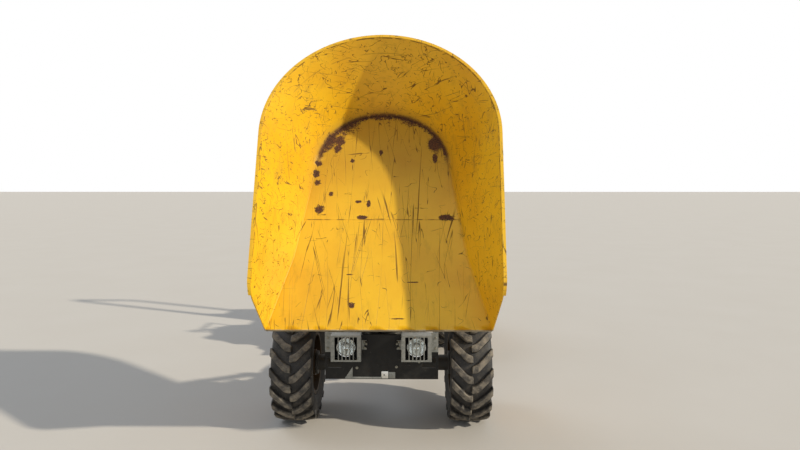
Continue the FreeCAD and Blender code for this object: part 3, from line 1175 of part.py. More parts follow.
def rear_counterweight():
    """Return the cast rear weight with the tow clevis and two lashing lugs."""
    front, end, tip = at(HOOD_END_A) - 30, at(WEIGHT_END_A), at(REAR_END_A)
    half = WEIGHT_HALF_WIDTH
    block = flat_plate(symmetric([(half, front), (half, end - WEIGHT_CORNER * 0.75),
                                  (half - WEIGHT_CORNER, end)]), WEIGHT_BOTTOM, WEIGHT_HEIGHT)
    pipe_gap = box((MUFFLER_X - PIPE_GAP_HALF_WIDTH, MUFFLER_X + PIPE_GAP_HALF_WIDTH), (front - 1, end + 1),
                   (RAIL_BOTTOM, WEIGHT_BOTTOM + WEIGHT_HEIGHT - 40))
    jaw_outline = symmetric([(CLEVIS_HALF_WIDTH, end - 5), (CLEVIS_HALF_WIDTH - 10, tip)])
    jaws = [flat_plate(jaw_outline, z, CLEVIS_JAW)
            for z in (CLEVIS_LOWER_Z, CLEVIS_LOWER_Z + CLEVIS_JAW + CLEVIS_MOUTH)]
    y = tip - CLEVIS_BORE_SETBACK
    bore = rod((0, y, CLEVIS_LOWER_Z - 10), (0, y, CLEVIS_LOWER_Z + 100), CLEVIS_BORE_RADIUS)
    lugs = both_sides(lashing_lug(half, front + 36, REAR_LUG_Z))
    return fused([block.cut(pipe_gap)] + jaws + lugs).cut(bore)


def rear_lamps():
    """Return the two rear lamps on the counterweight."""
    end, outer = at(WEIGHT_END_A), WEIGHT_HALF_WIDTH - WEIGHT_CORNER + 20
    top = WEIGHT_BOTTOM + WEIGHT_HEIGHT - 40
    lamp = box((outer - REAR_LAMP_WIDTH, outer), (end, end + REAR_LAMP_DEPTH), (top - REAR_LAMP_HEIGHT, top))
    return Part.makeCompound(both_sides(lamp))


def rops_posts():
    """Return the two fixed posts of the roll bar with their hinge forks."""
    x, y, half = HOOP_HALF_SPAN, at(HOOP_A), HOOP_TUBE / 2
    ys = (y - half, y + half)
    fork_foot, fork_top = HOOP_HINGE_Z - HOOP_CHEEK_DROP, HOOP_HINGE_Z + HOOP_CHEEK_RISE
    inner, outer = half + HOOP_CHEEK_GAP, half + HOOP_CHEEK_GAP + HOOP_CHEEK
    post = box((x - half, x + half), ys, (RAIL_TOP, HOOP_HINGE_Z - 50))
    foot = box((x - half, x + half), (at(BULKHEAD_A), y + 50), (RAIL_TOP, RAIL_TOP + 14))
    cheeks = [box(sorted((x + sign * inner, x + sign * outer)), ys, (fork_foot, fork_top))
              for sign in SIDES.values()]
    collar = box((x - inner, x + inner), ys, (fork_foot, HOOP_HINGE_Z - 60))
    pin = crossbar((x - outer - 8, x + outer + 8), y, HOOP_HINGE_Z, HOOP_PIN_RADIUS)
    return Part.makeCompound(both_sides(fused([post, foot, collar, pin] + cheeks)))


def rops_hoop():
    """Return the folding roll hoop, a square tube bent at its two top corners."""
    y, half, corner, span = at(HOOP_A), HOOP_TUBE / 2, HOOP_CORNER, HOOP_HALF_SPAN
    foot_z, top_z = HOOP_HINGE_Z - 34, HOOP_TOP - half
    turn = corner * (1 - math.sqrt(0.5))
    left = [Vector(-span, y, foot_z), Vector(-span, y, top_z - corner),
            Vector(-span + turn, y, top_z - turn), Vector(-span + corner, y, top_z)]
    right = [Vector(-point.x, y, point.z) for point in reversed(left)]
    path = Part.Wire([
        Part.LineSegment(left[0], left[1]).toShape(), Part.Arc(*left[1:]).toShape(),
        Part.LineSegment(left[3], right[0]).toShape(), Part.Arc(*right[:3]).toShape(),
        Part.LineSegment(right[2], right[3]).toShape(),
    ])
    square = ((-1, -1), (1, -1), (1, 1), (-1, 1), (-1, -1))

    def swept(reach):
        section = Part.makePolygon([Vector(-span + dx * reach, y + dy * reach, foot_z) for dx, dy in square])
        return path.makePipeShell([section], True, False, 2)

    bore = crossbar((-2 * span, 2 * span), y, HOOP_HINGE_Z, HOOP_PIN_RADIUS + PIN_CLEARANCE)
    return swept(half).cut([swept(half - HOOP_WALL), bore])


def grab_rails():
    """Return the hand rails on both fenders."""
    x, top_z = FENDER_INNER_X + 18, AXLE_Z + FENDER_RADIUS + RAIL_RISE
    front, end = REAR_AXLE_Y - RAIL_FOOT_AHEAD, REAR_AXLE_Y + RAIL_FOOT_BEHIND
    pieces = [rod((x, front, top_z), (x, end, top_z), RAIL_TUBE_RADIUS)]
    for y in (front, end):
        pieces.append(rod((x, y, AXLE_Z + FENDER_RADIUS * 0.8), (x, y, top_z), RAIL_TUBE_RADIUS))
        pieces.append(Part.makeSphere(RAIL_TUBE_RADIUS, Vector(x, y, top_z)))
    arch = crossbar((x - 40, x + 40), REAR_AXLE_Y, AXLE_Z, FENDER_RADIUS)
    return Part.makeCompound(both_sides(fused(pieces).cut(arch)))


# All four tyres are copies of this one
LUGGED_TYRE = lugged_tyre()

SINGLE_PARTS = (
    skip_shell, skip_underframe, tip_hinge_pin, swivel_console, slew_ring, tip_cylinder_barrel,
    tip_cylinder_rod, steering_cylinder_barrel, steering_cylinder_rod, front_frame, articulation_pin,
    rear_frame, platform, dash_console, steering_column, steering_wheel, control_levers, foot_pedals,
    seat_base, seat_cushion, seat_backrest, engine_block, engine_bulkhead, engine_hood, fuel_tank,
    exhaust_muffler, rear_counterweight, rear_lamps, rops_posts, rops_hoop, grab_rails,
)
SIDED_PARTS = (headlamp, lamp_guard, fender)
WHEEL_PARTS = (tyre, wheel)
AXLES = {"front": FRONT_AXLE_Y, "rear": REAR_AXLE_Y}


def all_parts():
    """Return every sub-part's solid by its name."""
    parts = {build.__name__: build() for build in SINGLE_PARTS}
    for place, y in AXLES.items():
        parts[f"{place}_axle"] = axle(y)
    for side_name, side in SIDES.items():
        for build in SIDED_PARTS:
            parts[f"{build.__name__}_{side_name}"] = build(side)
        for place, y in AXLES.items():
            for build in WHEEL_PARTS:
                parts[f"{build.__name__}_{place}_{side_name}"] = build(side, y)
    return parts


def main():
    """Write every sub-part to its own file."""
    os.makedirs("parts", exist_ok=True)
    for name, shape in all_parts().items():
        solids = len(shape.Solids)
        print(f"{name}: {solids} solid(s), {shape.Volume / 1e6:.2f} litres, valid {shape.isValid()}")
        shape.exportStep(os.path.join("parts", f"{name}.step"))


main()
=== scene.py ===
"""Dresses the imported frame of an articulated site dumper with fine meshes, finishes, light and a camera.

Everything is in metres in the frame's own axes: +X is the machine's left, +Y its rear and +Z up.
"""

import logging
import math
from dataclasses import dataclass
from enum import Enum
from functools import reduce
from typing import Callable, Iterable, Sequence

import bpy
from mathutils import Matrix, Vector


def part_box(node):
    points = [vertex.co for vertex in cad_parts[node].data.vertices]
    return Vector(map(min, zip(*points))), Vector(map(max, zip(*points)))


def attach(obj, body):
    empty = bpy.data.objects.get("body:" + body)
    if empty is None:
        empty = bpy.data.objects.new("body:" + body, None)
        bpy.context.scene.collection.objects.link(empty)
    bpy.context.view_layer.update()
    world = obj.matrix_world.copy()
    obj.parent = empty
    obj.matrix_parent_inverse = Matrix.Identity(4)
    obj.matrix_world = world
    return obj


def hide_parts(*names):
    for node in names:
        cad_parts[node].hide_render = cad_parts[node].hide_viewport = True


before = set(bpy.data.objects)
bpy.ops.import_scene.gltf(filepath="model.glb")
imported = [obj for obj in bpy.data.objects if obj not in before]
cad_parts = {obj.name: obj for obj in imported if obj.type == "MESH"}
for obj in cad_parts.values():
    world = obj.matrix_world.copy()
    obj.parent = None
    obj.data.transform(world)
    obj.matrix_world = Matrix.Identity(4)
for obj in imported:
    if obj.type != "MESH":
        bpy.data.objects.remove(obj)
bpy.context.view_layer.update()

LOG = logging.getLogger("site_dumper")
MM = 0.001
Point = Sequence[float]
Ring = list[Vector]
Socket = bpy.types.NodeSocket
Material = bpy.types.Material


class Side(Enum):
    """The machine's sides, with the sign of X on each."""

    LEFT = 1
    RIGHT = -1

    @property
    def word(self) -> str:
        """Return the side's name as the frame's nodes spell it."""
        return self.name.lower()


class Slot(Enum):
    """The record's material slots."""

    SKIP = "skip_paint"
    CHASSIS = "chassis_paint"
    BODY = "body_paint"
    ZINC = "galvanised"
    LAMP = "lamp_chrome"
    ROD = "rod_chrome"
    STEEL = "bare_steel"
    IRON = "iron"
    TYRE = "tyre"
    PLASTIC = "black_plastic"
    VINYL = "seat_vinyl"
    RED = "lamp_red"


def linear(hex_colour: str, alpha: float = 1.0) -> tuple[float, float, float, float]:
    """Turn an sRGB colour into the linear values that shaders take.

    Args:
        hex_colour: six hex digits, with or without a leading hash.
        alpha: the fourth value.

    Returns:
        Red, green, blue and alpha.
    """
    digits = hex_colour.lstrip("#")
    channels = []
    for start in (0, 2, 4):
        value = int(digits[start:start + 2], 16) / 255
        channels.append(value / 12.92 if value <= 0.04045 else ((value + 0.055) / 1.055) ** 2.4)
    return channels[0], channels[1], channels[2], alpha


def per_metre(millimetres: float) -> float:
    """Return the texture scale whose pattern repeats about every so many millimetres."""
    return 1000.0 / millimetres


class Shader:
    """A material's node tree, with the one helper that adds nodes to it."""

    def __init__(self, name: str) -> None:
        """Start an empty material of this name."""
        self.material = bpy.data.materials.new(name)
        self.material.use_nodes = True
        self.tree = self.material.node_tree
        self.tree.nodes.clear()

    def add(self, kind: str, settings: dict | None = None, inputs: dict | None = None) -> bpy.types.Node:
        """Add a node with its settings and links.

        Args:
            kind: the node's type, without its ShaderNode prefix.
            settings: attribute values by name.
            inputs: a value or another node's output socket, by the input's name or number.

        Returns:
            The new node.
        """
        node = self.tree.nodes.new("ShaderNode" + kind)
        for attribute, value in (settings or {}).items():
            setattr(node, attribute, value)
        for socket, value in (inputs or {}).items():
            if isinstance(value, Socket):
                self.tree.links.new(value, node.inputs[socket])
            else:
                node.inputs[socket].default_value = value
        return node

    def math(self, operation: str, *values: object) -> Socket:
        """Return the result of an arithmetic operation on numbers or sockets."""
        return self.add("Math", {"operation": operation}, dict(enumerate(values))).outputs[0]

    def times(self, *values: object) -> Socket:
        """Return the product of numbers or sockets."""
        return reduce(lambda first, second: self.math("MULTIPLY", first, second), values)

    def total(self, *values: object) -> Socket:
        """Return the sum of numbers or sockets."""
        return reduce(lambda first, second: self.math("ADD", first, second), values)

    def most(self, *values: object) -> Socket:
        """Return the greatest of numbers or sockets."""
        return reduce(lambda first, second: self.math("MAXIMUM", first, second), values)

    def less(self, value: object, taken: object) -> Socket:
        """Return what is left of a value when another is taken from it."""
        return self.math("SUBTRACT", value, taken)

    def apart(self, first: object, second: object) -> Socket:
        """Return how far two values lie apart, whichever is greater."""
        return self.math("ABSOLUTE", self.less(first, second))

    def length(self, vector: object) -> Socket:
        """Return a vector's length."""
        return self.add("VectorMath", {"operation": "LENGTH"}, {0: vector}).outputs["Value"]

    def axes(self, vector: object) -> Sequence[Socket]:
        """Return a vector's three coordinates."""
        return self.add("SeparateXYZ", None, {0: vector}).outputs

    def fade(self, value: object, start: float, end: float) -> Socket:
        """Return a smooth 0 to 1 step of a value between start and end, which may fall as well as rise."""
        settings = {"interpolation_type": "SMOOTHSTEP"}
        if start < end:
            return self.add("MapRange", settings, {0: value, 1: start, 2: end}).outputs[0]
        return self.less(1.0, self.fade(value, end, start))

    def noise(self, place: object, millimetres: float, detail: float = 3.0, rough: float = 0.55,
              bend: float = 0.0) -> Socket:
        """Return cloudy noise from 0 to 1 whose patches are about so many millimetres wide."""
        inputs = {"Vector": place, "Scale": per_metre(millimetres), "Detail": detail,
                  "Roughness": rough, "Distortion": bend}
        return self.add("TexNoise", None, inputs).outputs["Fac"]

    def patches(self, place: object, millimetres: float, start: float, end: float, detail: float = 3.0,
                rough: float = 0.55) -> Socket:
        """Return a mask of soft-edged patches, cut from such noise between two of its levels."""
        return self.fade(self.noise(place, millimetres, detail, rough), start, end)

    def cells(self, place: object, millimetres: float, random: float = 1.0) -> Socket:
        """Return the distance to the nearest border between cells about so many millimetres wide."""
        inputs = {"Vector": place, "Scale": per_metre(millimetres), "Randomness": random}
        return self.add("TexVoronoi", {"feature": "DISTANCE_TO_EDGE"}, inputs).outputs[0]

    def mix(self, share: object, first: object, second: object) -> Socket:
        """Return a colour a share of the way from the first to the second; either may be hex digits."""
        first, second = (linear(end) if isinstance(end, str) else end for end in (first, second))
        return self.add("Mix", {"data_type": "RGBA"}, {0: share, 6: first, 7: second}).outputs[2]

    def level(self, share: object, first: object, second: object) -> Socket:
        """Return a number a share of the way from the first to the second."""
        return self.add("Mix", {"data_type": "FLOAT"}, {0: share, 2: first, 3: second}).outputs[0]

    def place(self, kind: str = "Object") -> Socket:
        """Return the piece's own coordinates in metres."""
        return self.add("TexCoord").outputs[kind]

    def mapped(self, place: object, **frame_of: Point) -> Socket:
        """Return coordinates as seen from a frame given by its Location, Rotation and Scale."""
        return self.add("Mapping", {"vector_type": "TEXTURE"}, {"Vector": place, **frame_of}).outputs[0]

    def stretched(self, place: object, scale: Point, turn: Point = (0, 0, 0)) -> Socket:
        """Return coordinates turned first and then scaled on each axis, so that patterns run aslant."""
        return self.mapped(place, Scale=[1 / value for value in scale], Rotation=turn)

    def threads(self, place: object, millimetres: float, width: float, cover: float,
                patch: float = 160.0) -> Socket:
        """Return thin wandering lines, as scratches leave them.

        Args:
            place: the coordinates.
            millimetres: about how far the lines stand apart.
            width: a line's half width, as a share of the noise it is cut from.
            cover: from 0, lines everywhere, to 1, nowhere.
            patch: how long a line runs before it fades out, in millimetres.

        Returns:
            1 on a line and 0 off it.
        """
        field = self.noise(place, millimetres, 1.5, 0.4, 0.6)
        line = self.fade(self.apart(field, 0.5), width, width * 0.25)
        return self.times(line, self.patches(place, patch, cover, cover + 0.06, 2.0))

    def bump(self, height: object, millimetres: float, strength: float = 1.0,
             below: object | None = None) -> Socket:
        """Return the normal of a relief this high, laid over another normal where one is given."""
        inputs = {"Height": height, "Distance": millimetres * MM, "Strength": strength}
        if below is not None:
            inputs["Normal"] = below
        return self.add("Bump", None, inputs).outputs[0]

    def edge(self, millimetres: float) -> Socket:
        """Return a mask that is 1 where the surface turns a corner within so many millimetres."""
        round_normal = self.add("Bevel", {"samples": 4}, {"Radius": millimetres * MM}).outputs[0]
        normal = self.add("NewGeometry").outputs["Normal"]
        inputs = {0: round_normal, 1: normal}
        along = self.add("VectorMath", {"operation": "DOT_PRODUCT"}, inputs).outputs["Value"]
        return self.fade(along, 0.99, 0.88)

    def finish(self, inputs: dict) -> Material:
        """Close the tree with the surface shader and its inputs, and return the material."""
        surface = self.add("BsdfPrincipled", None, inputs)
        self.add("OutputMaterial", None, {"Surface": surface.outputs[0]})
        self.material.diffuse_color = (0.5, 0.5, 0.5, 1)
        return self.material


@dataclass(frozen=True)
class HopperEnamel:
    """Yellow alkyd enamel sprayed on steel plate, worn by what it has carried.

    Long scratches run along the floor, and rust sits where the plates meet and where stones have struck.
    These marks need the skip's placement; without one the enamel is that of the outside.
    """

    name: str = "hopper_enamel_sprayed"
    colour: str = "ecba1c"
    deep: str = "e1aa13"
    soil: str = "7f5f20"
    scratch: str = "4f310e"
    rust: str = "3f2514"
    fresh_rust: str = "7a4a20"
    steel: str = "a89a7c"
    placement: Matrix | None = None
    arc_s: float = 1.160
    arc_radius: float = 0.436
    seam_s: float = 0.735
    rim_tilt: float = math.radians(5.5)
    rim_height: float = 0.345
    rim_setback: float = 0.080

    def spots(self, shader: Shader, place: object, ragged: object) -> Socket:
        """Return a mask of the places where the enamel is knocked through to rust."""
        fine = shader.noise(place, 7.0, 5.0, 0.75)
        broken = shader.less(shader.total(shader.times(ragged, 1.9), shader.times(fine, 0.8)), 0.22)
        masks: list[object] = [0.0]
        for x, s, n, half_width, half_length in RUST_SPOTS:
            moved = shader.mapped(place, Location=(x, s, n), Scale=(half_width, half_length, 0.04))
            masks.append(shader.fade(shader.total(shader.length(moved), broken), 2.05, 1.80))
        return shader.most(*masks)

    def seams(self, shader: Shader, place: object, axes: Sequence, ragged: object) -> Socket:
        """Return a mask of the rust along the rear arc and the floor's cross seam."""
        along = shader.less(axes[1], self.arc_s)
        reach = shader.length(shader.add("CombineXYZ", None, {0: axes[0], 1: along}).outputs[0])
        width = shader.level(shader.patches(place, 150.0, 0.38, 0.66, 1.0), 0.055, 0.190)
        near = shader.less(1.0, shader.math("DIVIDE", shader.apart(self.arc_radius, reach), width))
        low = shader.times(shader.fade(axes[2], 0.035, 0.004), shader.fade(along, -0.02, 0.10))
        fine = shader.noise(place, 9.0, 5.0, 0.75)
        broken = shader.total(shader.times(ragged, 1.7), shader.times(fine, 1.3))
        arc = shader.fade(shader.total(near, broken), 2.00, 2.36)
        line = shader.times(shader.fade(shader.apart(axes[1], self.seam_s), 0.006, 0.002),
                            shader.patches(place, 60.0, 0.4, 0.6), shader.fade(axes[2], 0.02, 0.006))
        return shader.most(shader.times(arc, low), shader.times(line, 0.6))

    def rim_rub_and_crease_shade(self, shader: Shader, place: object, axes: Sequence) -> Socket:
        """Return a mask of the dark rub along the rim's inner edge, and of the fainter painted shade of a
        crease below it.
        """
        rise = math.tan(self.rim_tilt)
        top = shader.total(self.rim_height - self.rim_setback * rise, shader.times(axes[1], rise))
        below = shader.less(top, axes[2])
        edge = shader.times(shader.fade(shader.apart(below, 0.006), 0.0045, 0.001),
                            shader.patches(place, 70.0, 0.40, 0.55, 5.0, 0.65))
        # Painted shade: a faint dark line near the rear stands for a crease in the plate below the rim
        second = shader.times(shader.fade(shader.apart(below, 0.095), 0.0045, 0.001),
                              shader.fade(axes[1], 1.2, 1.45),
                              shader.patches(place, 90.0, 0.42, 0.58))
        return shader.most(edge, shader.times(second, 0.4))

    def scores(self, shader: Shader, place: object, axes: Sequence) -> Socket:
        """Return a mask of the scratches: long ones down the floor and slanting ones on the walls."""
        # Scratches are 1 to 3 mm wide, and drawn at 3 to 5 mm so that they show from four metres
        wall = shader.fade(axes[2], 0.03, 0.08)
        floor = shader.less(1.0, wall)
        masks = []
        for scale, turn, apart, width, cover, patch, where in (
                ((1.0, 0.04, 1.0), (0, 0, 0.07), 30.0, 0.012, 0.52, 36.0, floor),
                ((1.0, 0.03, 1.0), (0, 0, -0.05), 44.0, 0.010, 0.50, 30.0, floor),
                ((1.0, 0.04, 1.0), (0, 0, 0.28), 60.0, 0.008, 0.56, 40.0, floor),
                ((1.0, 0.04, 1.0), (0, 0, -0.24), 60.0, 0.008, 0.56, 40.0, floor),
                ((0.10, 1.0, 1.0), (0, 0, 0.06), 34.0, 0.011, 0.62, 30.0, floor),
                ((0.10, 1.0, 1.0), (0.0, 0.5, 0.3), 54.0, 0.011, 0.50, 50.0, wall),
                ((0.10, 1.0, 1.0), (0.0, -0.6, -0.4), 58.0, 0.011, 0.50, 46.0, wall),
                ((0.10, 1.0, 1.0), (0.0, 0.1, 0.0), 50.0, 0.010, 0.52, 40.0, wall),
                ((1.0, 0.10, 1.0), (0.4, 0.0, 0.1), 56.0, 0.011, 0.52, 44.0, wall)):
            lines = shader.threads(shader.stretched(place, scale, turn), apart, width, cover, patch)
            masks.append(shader.times(lines, where))
        return shader.most(*masks)

    def build(self) -> Material:
        """Return the material."""
        shader = Shader(self.name)
        place = shader.place()
        if self.placement:
            # From here on x, s and n of the skip's own frame
            place = shader.mapped(place, Location=self.placement.to_translation(),
                                  Rotation=self.placement.to_euler())
        axes = shader.axes(place)
        colour = shader.mix(shader.patches(place, 420.0, 0.35, 0.7, 4.0), self.colour, self.deep)
        # Dried soil lies in thin washes drawn out along the floor
        wash = shader.patches(shader.stretched(place, (1.0, 0.3, 1.0)), 60.0, 0.50, 0.74, 6.0, 0.68)
        soil = shader.times(wash, 0.30 if self.placement else 0.2)
        ragged = shader.noise(place, 24.0, 6.0, 0.7)
        chips = shader.times(shader.fade(ragged, 0.70, 0.74), 0.8)
        scratches = shader.threads(place, 150.0, 0.006, 0.53, 90.0)
        rust, bare = 0.0, 0.0
        if self.placement:
            scratches = shader.most(scratches, self.scores(shader, place, axes),
                                    self.rim_rub_and_crease_shade(shader, place, axes))
            rust = shader.most(self.seams(shader, place, axes, ragged), self.spots(shader, place, ragged))
            haze = shader.times(shader.fade(axes[1], 0.7, 1.3), shader.fade(axes[2], 0.10, 0.0), 0.45)
            soil = shader.most(soil, haze)
            bare = shader.fade(shader.total(axes[1], shader.times(ragged, 0.010)), 0.0095, 0.0075)
        worn = shader.times(shader.edge(2.5), shader.patches(place, 30.0, 0.56, 0.62, 6.0, 0.7), 0.3)
        rust = shader.most(rust, chips, worn)
        colour = shader.mix(soil, colour, self.soil)
        # The scratch colour also takes the rub along the rim and the painted shade of a crease below it
        colour = shader.mix(shader.times(scratches, 0.85), colour, self.scratch)
        flakes = shader.patches(place, 10.0, 0.45, 0.66, 5.0, 0.75)
        colour = shader.mix(rust, colour, shader.mix(flakes, self.rust, self.fresh_rust))
        rough = shader.level(shader.most(rust, scratches), shader.level(soil, 0.36, 0.8), 0.82)
        peel = shader.bump(shader.noise(place, 5.0, 2.0), 0.12, 0.35)
        dents = shader.bump(shader.noise(place, 190.0, 1.0), 4.0, 0.3, peel)
        cut = shader.bump(shader.less(rust, scratches), 0.5, 0.8, dents)
        return shader.finish({"Base Color": shader.mix(bare, colour, self.steel), "Roughness": rough,
                              "Normal": cut, "IOR": 1.5, "Metallic": shader.times(bare, 0.5)})


@dataclass(frozen=True)
class PanelEnamel:
    """Two-part enamel sprayed on sheet steel: an even film with fine orange peel, chips and settled dust, and
    where asked a painted shade over the side that faces the machine's middle.
    """

    name: str
    colour: str
    chip: str = "6b675f"
    dust: str = "8b8478"
    grease: str = "1d1a16"
    dustiness: float = 0.45
    gloss: float = 0.42
    edges: float = 0.7
    gleam: float = 0.5
    inner_shade_x: float = 0.0

    def build(self) -> Material:
        """Return the material."""
        shader = Shader(self.name)
        place = shader.place()
        axes = shader.axes(place)
        upward = shader.axes(shader.place("Normal"))[2]
        # Dust lies on what faces up and on what rides low, in soft patches of about 30 mm
        settled = shader.most(shader.fade(upward, 0.5, 1.0), shader.fade(axes[2], 0.70, 0.15))
        dust = shader.times(settled, shader.patches(place, 30.0, 0.20, 0.90, 7.0, 0.68), self.dustiness)
        scuff = shader.times(shader.threads(place, 60.0, 0.010, 0.6, 45.0), 0.35)
        chips = shader.times(shader.edge(4.0), shader.patches(place, 22.0, 0.5, 0.58, 5.0, 0.7), self.edges)
        marks = shader.most(scuff, chips)
        base = shader.mix(marks, shader.mix(dust, self.colour, self.dust), self.chip)
        if self.inner_shade_x:
            # Painted shade: the side that faces the machine's middle is darkened almost to black
            inner = shader.fade(shader.math("ABSOLUTE", axes[0]), self.inner_shade_x, self.inner_shade_x - 0.02)
            base = shader.mix(shader.times(inner, 0.93), base, self.grease)
        rough = shader.level(dust, self.gloss, 0.85)
        peel = shader.bump(shader.noise(place, 4.0, 2.0), 0.1, 0.4)
        return shader.finish({"Base Color": base, "Roughness": shader.level(marks, rough, 0.6),
                              "Normal": shader.bump(marks, 0.2, 0.5, peel), "IOR": 1.5,
                              "Specular IOR Level": self.gleam})


@dataclass(frozen=True)
class ZincCoating:
    """Hot-dip galvanised steel: dull grey zinc with 12 mm spangle and whitish runs."""

    name: str = "zinc_coating_dipped"
    colour: str = "a3a39d"
    dark: str = "757772"

    def build(self) -> Material:
        """Return the material."""
        shader = Shader(self.name)
        place = shader.place()
        cells = shader.add("TexVoronoi", None, {"Vector": place, "Scale": per_metre(12.0)})
        tone = shader.add("SeparateColor", None, {0: cells.outputs["Color"]}).outputs[0]
        runs = shader.noise(shader.stretched(place, (1.0, 1.0, 0.2)), 25.0, 5.0, 0.6)
        share = shader.total(shader.times(tone, 0.5), shader.times(runs, 0.5))
        return shader.finish({"Base Color": shader.mix(share, self.dark, self.colour), "Metallic": 0.75,
                              "Roughness": shader.level(share, 0.42, 0.6),
                              "Normal": shader.bump(runs, 0.15, 0.4)})


@dataclass(frozen=True)
class PlatedMetal:
    """Metal brought to a bright surface: plated, turned or ground, with fine lines along the tool's path."""

    name: str
    colour: str
    rough: float
    line_mm: float = 1.2
    line_depth: float = 0.02
    grime: float = 0.1
    grime_colour: str = "2a2218"

    def build(self) -> Material:
        """Return the material."""
        shader = Shader(self.name)
        place = shader.place()
        lines = shader.noise(shader.stretched(place, (1.0, 1.0, 12.0)), self.line_mm * 12, 3.0)
        film = shader.times(shader.patches(place, 34.0, 0.55, 0.75, 6.0, 0.65), self.grime)
        rough = shader.level(lines, self.rough * 0.8, self.rough * 1.25)
        return shader.finish({"Base Color": shader.mix(film, self.colour, self.grime_colour),
                              "Metallic": 1.0, "Roughness": shader.level(film, rough, 0.6),
                              "Normal": shader.bump(lines, self.line_depth, 0.5)})


@dataclass(frozen=True)
class CastIron:
    """Sand-cast iron under one coat of paint: a pebbled skin of 2 to 3 mm grain, drawn at 5 mm to show."""

    name: str
    colour: str = "31312f"
    rust: str = "5b3620"
    gloss: float = 0.6
    grain: str = "6c675f"

    def build(self) -> Material:
        """Return the material."""
        shader = Shader(self.name)
        place = shader.place()
        skin = shader.noise(place, 5.0, 5.0, 0.7)
        stains = shader.times(shader.patches(place, 70.0, 0.6, 0.8, 6.0, 0.65), 0.5)
        colour = shader.mix(shader.times(skin, 0.3), self.colour, self.grain)
        return shader.finish({"Base Color": shader.mix(stains, colour, self.rust),
                              "Roughness": shader.level(stains, self.gloss, 0.85),
                              "Normal": shader.bump(skin, 0.6, 0.8), "Metallic": 0.1})


@dataclass(frozen=True)
class TyreRubber:
    """Vulcanised natural rubber: matt black with dried mud on the lugs' tops and grit in the grooves.

    The piece's own X axis is the axle, so that wear follows the radius.
    """

    name: str = "tyre_rubber_vulcanised"
    colour: str = "1a1918"
    dust: str = "978d7c"
    scuffed: str = "4a4640"
    tread_radius: float = 0.352

    def build(self) -> Material:
        """Return the material."""
        shader = Shader(self.name)
        place = shader.place()
        axes = shader.axes(place)
        radius = shader.length(shader.add("CombineXYZ", None, {1: axes[1], 2: axes[2]}).outputs[0])
        top = shader.fade(radius, self.tread_radius + 0.002, self.tread_radius + 0.016)
        clouds = shader.noise(place, 48.0, 6.0, 0.65)
        grit = shader.noise(place, 7.0, 4.0, 0.7)
        mud = shader.times(top, shader.fade(clouds, 0.36, 0.66), 0.70)
        wall = shader.times(shader.fade(clouds, 0.42, 0.8), 0.22)
        groove = shader.times(shader.fade(grit, 0.58, 0.72), 0.3)
        dust = shader.most(mud, wall, groove)
        colour = shader.mix(shader.times(top, 0.55), self.colour, self.scuffed)
        return shader.finish({"Base Color": shader.mix(dust, colour, self.dust),
                              "Roughness": shader.level(dust, 0.62, 0.93), "IOR": 1.52,
                              "Normal": shader.bump(clouds, 1.2, 0.4, shader.bump(grit, 0.5, 0.7))})


@dataclass(frozen=True)
class MouldedPlastic:
    """Injection-moulded ABS: leather-like grain of about 1.5 mm cells, drawn at 3 mm, with greyed patches."""

    name: str
    colour: str = "1c1c1c"
    grain_mm: float = 3.0
    rough: float = 0.5
    greyed: str = "8d887e"

    def build(self) -> Material:
        """Return the material."""
        shader = Shader(self.name)
        place = shader.place()
        cloud = shader.noise(place, 80.0, 5.0)
        grey = shader.times(shader.fade(cloud, 0.4, 0.8), 0.18)
        return shader.finish({"Base Color": shader.mix(grey, self.colour, self.greyed), "IOR": 1.53,
                              "Roughness": shader.level(cloud, self.rough, 0.7),
                              "Normal": shader.bump(shader.cells(place, self.grain_mm), 0.25, 0.5)})


@dataclass(frozen=True)
class SeatVinyl:
    """PVC-coated fabric, embossed with a hide grain of 2 mm cells, drawn at 4 mm, and dusty in its folds."""

    name: str = "seat_vinyl_embossed"
    colour: str = "1b1b1c"
    dust: str = "6f6a60"

    def build(self) -> Material:
        """Return the material."""
        shader = Shader(self.name)
        place = shader.place()
        folds = shader.noise(place, 55.0, 4.0)
        dust = shader.times(shader.fade(folds, 0.5, 0.8), 0.3)
        grain = shader.bump(shader.fade(shader.cells(place, 4.0, 0.9), 0.0, 0.16), 0.35, 0.6)
        return shader.finish({"Base Color": shader.mix(dust, self.colour, self.dust), "IOR": 1.5,
                              "Roughness": shader.level(dust, 0.42, 0.75), "Sheen Weight": 0.15,
                              "Normal": shader.bump(folds, 2.0, 0.25, grain)})


@dataclass(frozen=True)
class ClearLens:
    """Pressed glass or moulded acrylic of one tint, with faint dust on its outside."""

    name: str
    tint: str = "f4f8f8"
    rough: float = 0.03
    ior: float = 1.5
    see_through: float = 1.0
    dust: str = "b5afa2"

    def build(self) -> Material:
        """Return the material."""
        shader = Shader(self.name)
        haze = shader.patches(shader.place(), 16.0, 0.45, 0.8, 6.0, 0.7)
        return shader.finish({"Base Color": shader.mix(shader.times(haze, 0.15), self.tint, self.dust),
                              "Roughness": shader.level(haze, self.rough, self.rough + 0.14),
                              "Transmission Weight": self.see_through, "IOR": self.ior})


